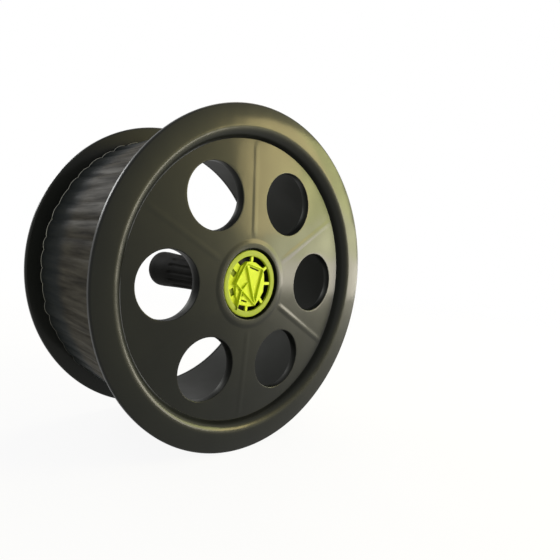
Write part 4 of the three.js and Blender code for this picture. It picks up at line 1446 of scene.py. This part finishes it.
@dataclass(frozen=True)
class Stage:
    """Pale floor, white surroundings, soft lamps and the camera."""

    floor_z: float
    floor_reach: float = 6.0
    floor_white: float = 0.92
    shadow_reach: Point = (0.3, 1.2)  # the floor runs out to white in between
    fill: float = 0.4
    lamps: tuple[Lamp, ...] = (
        Lamp("upper_left_key", 46.5, 15, 1.0, (0.228, 0.281), 5.4, "#ffe8a2"),
        Lamp("upper_right_key", 59, 15, 1.0, (0.21, 0.281), 3.1, "#faffa4"),
        Lamp("middle_key", 57.5, 3.5, 1.0, (0.407, 0.122), 2.8, "#ffffc7"),
        Lamp("lower_key", 60, -4, 1.0, (0.48, 0.14), 5.1, "#fff6e6"),
        Lamp("top_softbox", 113, 58, 1.24, (0.8, 0.8), 6, "#fff2dc"),
        Lamp("back_softbox", -169, 21, 1.38, (0.5, 0.35), 5),
    )

    def seen_share(self, tree: Tree) -> Socket:
        """Whether a ray is a camera, glossy or transmission ray: 1 or 0."""
        rays = tree.add("LightPath")
        seen = tree.math("MAXIMUM", rays["Is Camera Ray"], rays["Is Glossy Ray"])
        return tree.math("MAXIMUM", seen, rays["Is Transmission Ray"])

    def surroundings(self) -> None:
        """Make the world: white where it is seen, and a plain even fill for the light."""
        world = bpy.data.worlds.new("white_surroundings")
        bpy.context.scene.world = world
        world.use_nodes = True
        tree = Tree(world.node_tree)
        back = world.node_tree.nodes["Background"]
        tree.feed(back.inputs["Color"], "#ffffff")
        strength = tree.remap(self.seen_share(tree), target=(self.fill, 1.0))
        tree.feed(back.inputs["Strength"], strength)

    def floor(self) -> None:
        """Make the floor: matt off-white paper that keeps the shadow and runs out to white."""
        side = self.floor_reach
        corners = [(-side, -side), (side, -side), (side, side), (-side, side)]
        mesh = bpy.data.meshes.new("paper_floor")
        mesh.from_pydata([(*corner, self.floor_z) for corner in corners], [], [(0, 1, 2, 3)])
        material = bpy.data.materials.new("matt_white_paper")
        material.use_nodes = True
        nodes, tree = material.node_tree.nodes, Tree(material.node_tree)
        nodes.remove(nodes["Principled BSDF"])
        paper = tree.add("BsdfDiffuse", {"Color": "#f4f4f2"})[0]
        white = tree.add("Emission", {"Strength": 1.0})[0]
        away = tree.length(tree.place())
        spread = tree.remap(away, self.shadow_reach, (self.floor_white, 1.0), smooth=True)
        lift = tree.math("MULTIPLY", self.seen_share(tree), spread)
        surface = tree.add("MixShader", {0: lift, 1: paper, 2: white})[0]
        tree.feed(nodes["Material Output"].inputs["Surface"], surface)
        mesh.materials.append(material)
        placed("paper_floor", mesh)

    def camera(self) -> None:
        """Make the camera, at the place and turn that the outlines of both flanges give."""
        data = bpy.data.cameras.new("viewing_camera")
        data.lens = CAMERA_LENS
        data.sensor_width = 36
        data.shift_x, data.shift_y = CAMERA_SHIFT
        data.clip_start = 0.01
        obj = placed("viewing_camera", data)
        axes = Matrix(CAMERA_AXES).transposed().to_4x4()
        obj.matrix_world = Matrix.Translation(CAMERA_PLACE) @ axes
        bpy.context.scene.camera = obj

    def build(self) -> None:
        """Set up the whole stage."""
        self.surroundings()
        self.floor()
        for lamp in self.lamps:
            lamp.build()
        self.camera()
        bpy.context.scene.view_settings.view_transform = "Standard"


def main() -> None:
    """Build the pieces in order, then the stage."""
    logging.basicConfig(level=logging.INFO, format="%(name)s: %(message)s")
    sizes = ReelSizes()
    for part in (FrontFlange(sizes), Drum(sizes), HubCap(), Hub(), Handle()):
        part.build()
    Stage(floor_z=float(CAD_BOX[0][2])).build()


if __name__ == "__main__":
    main()
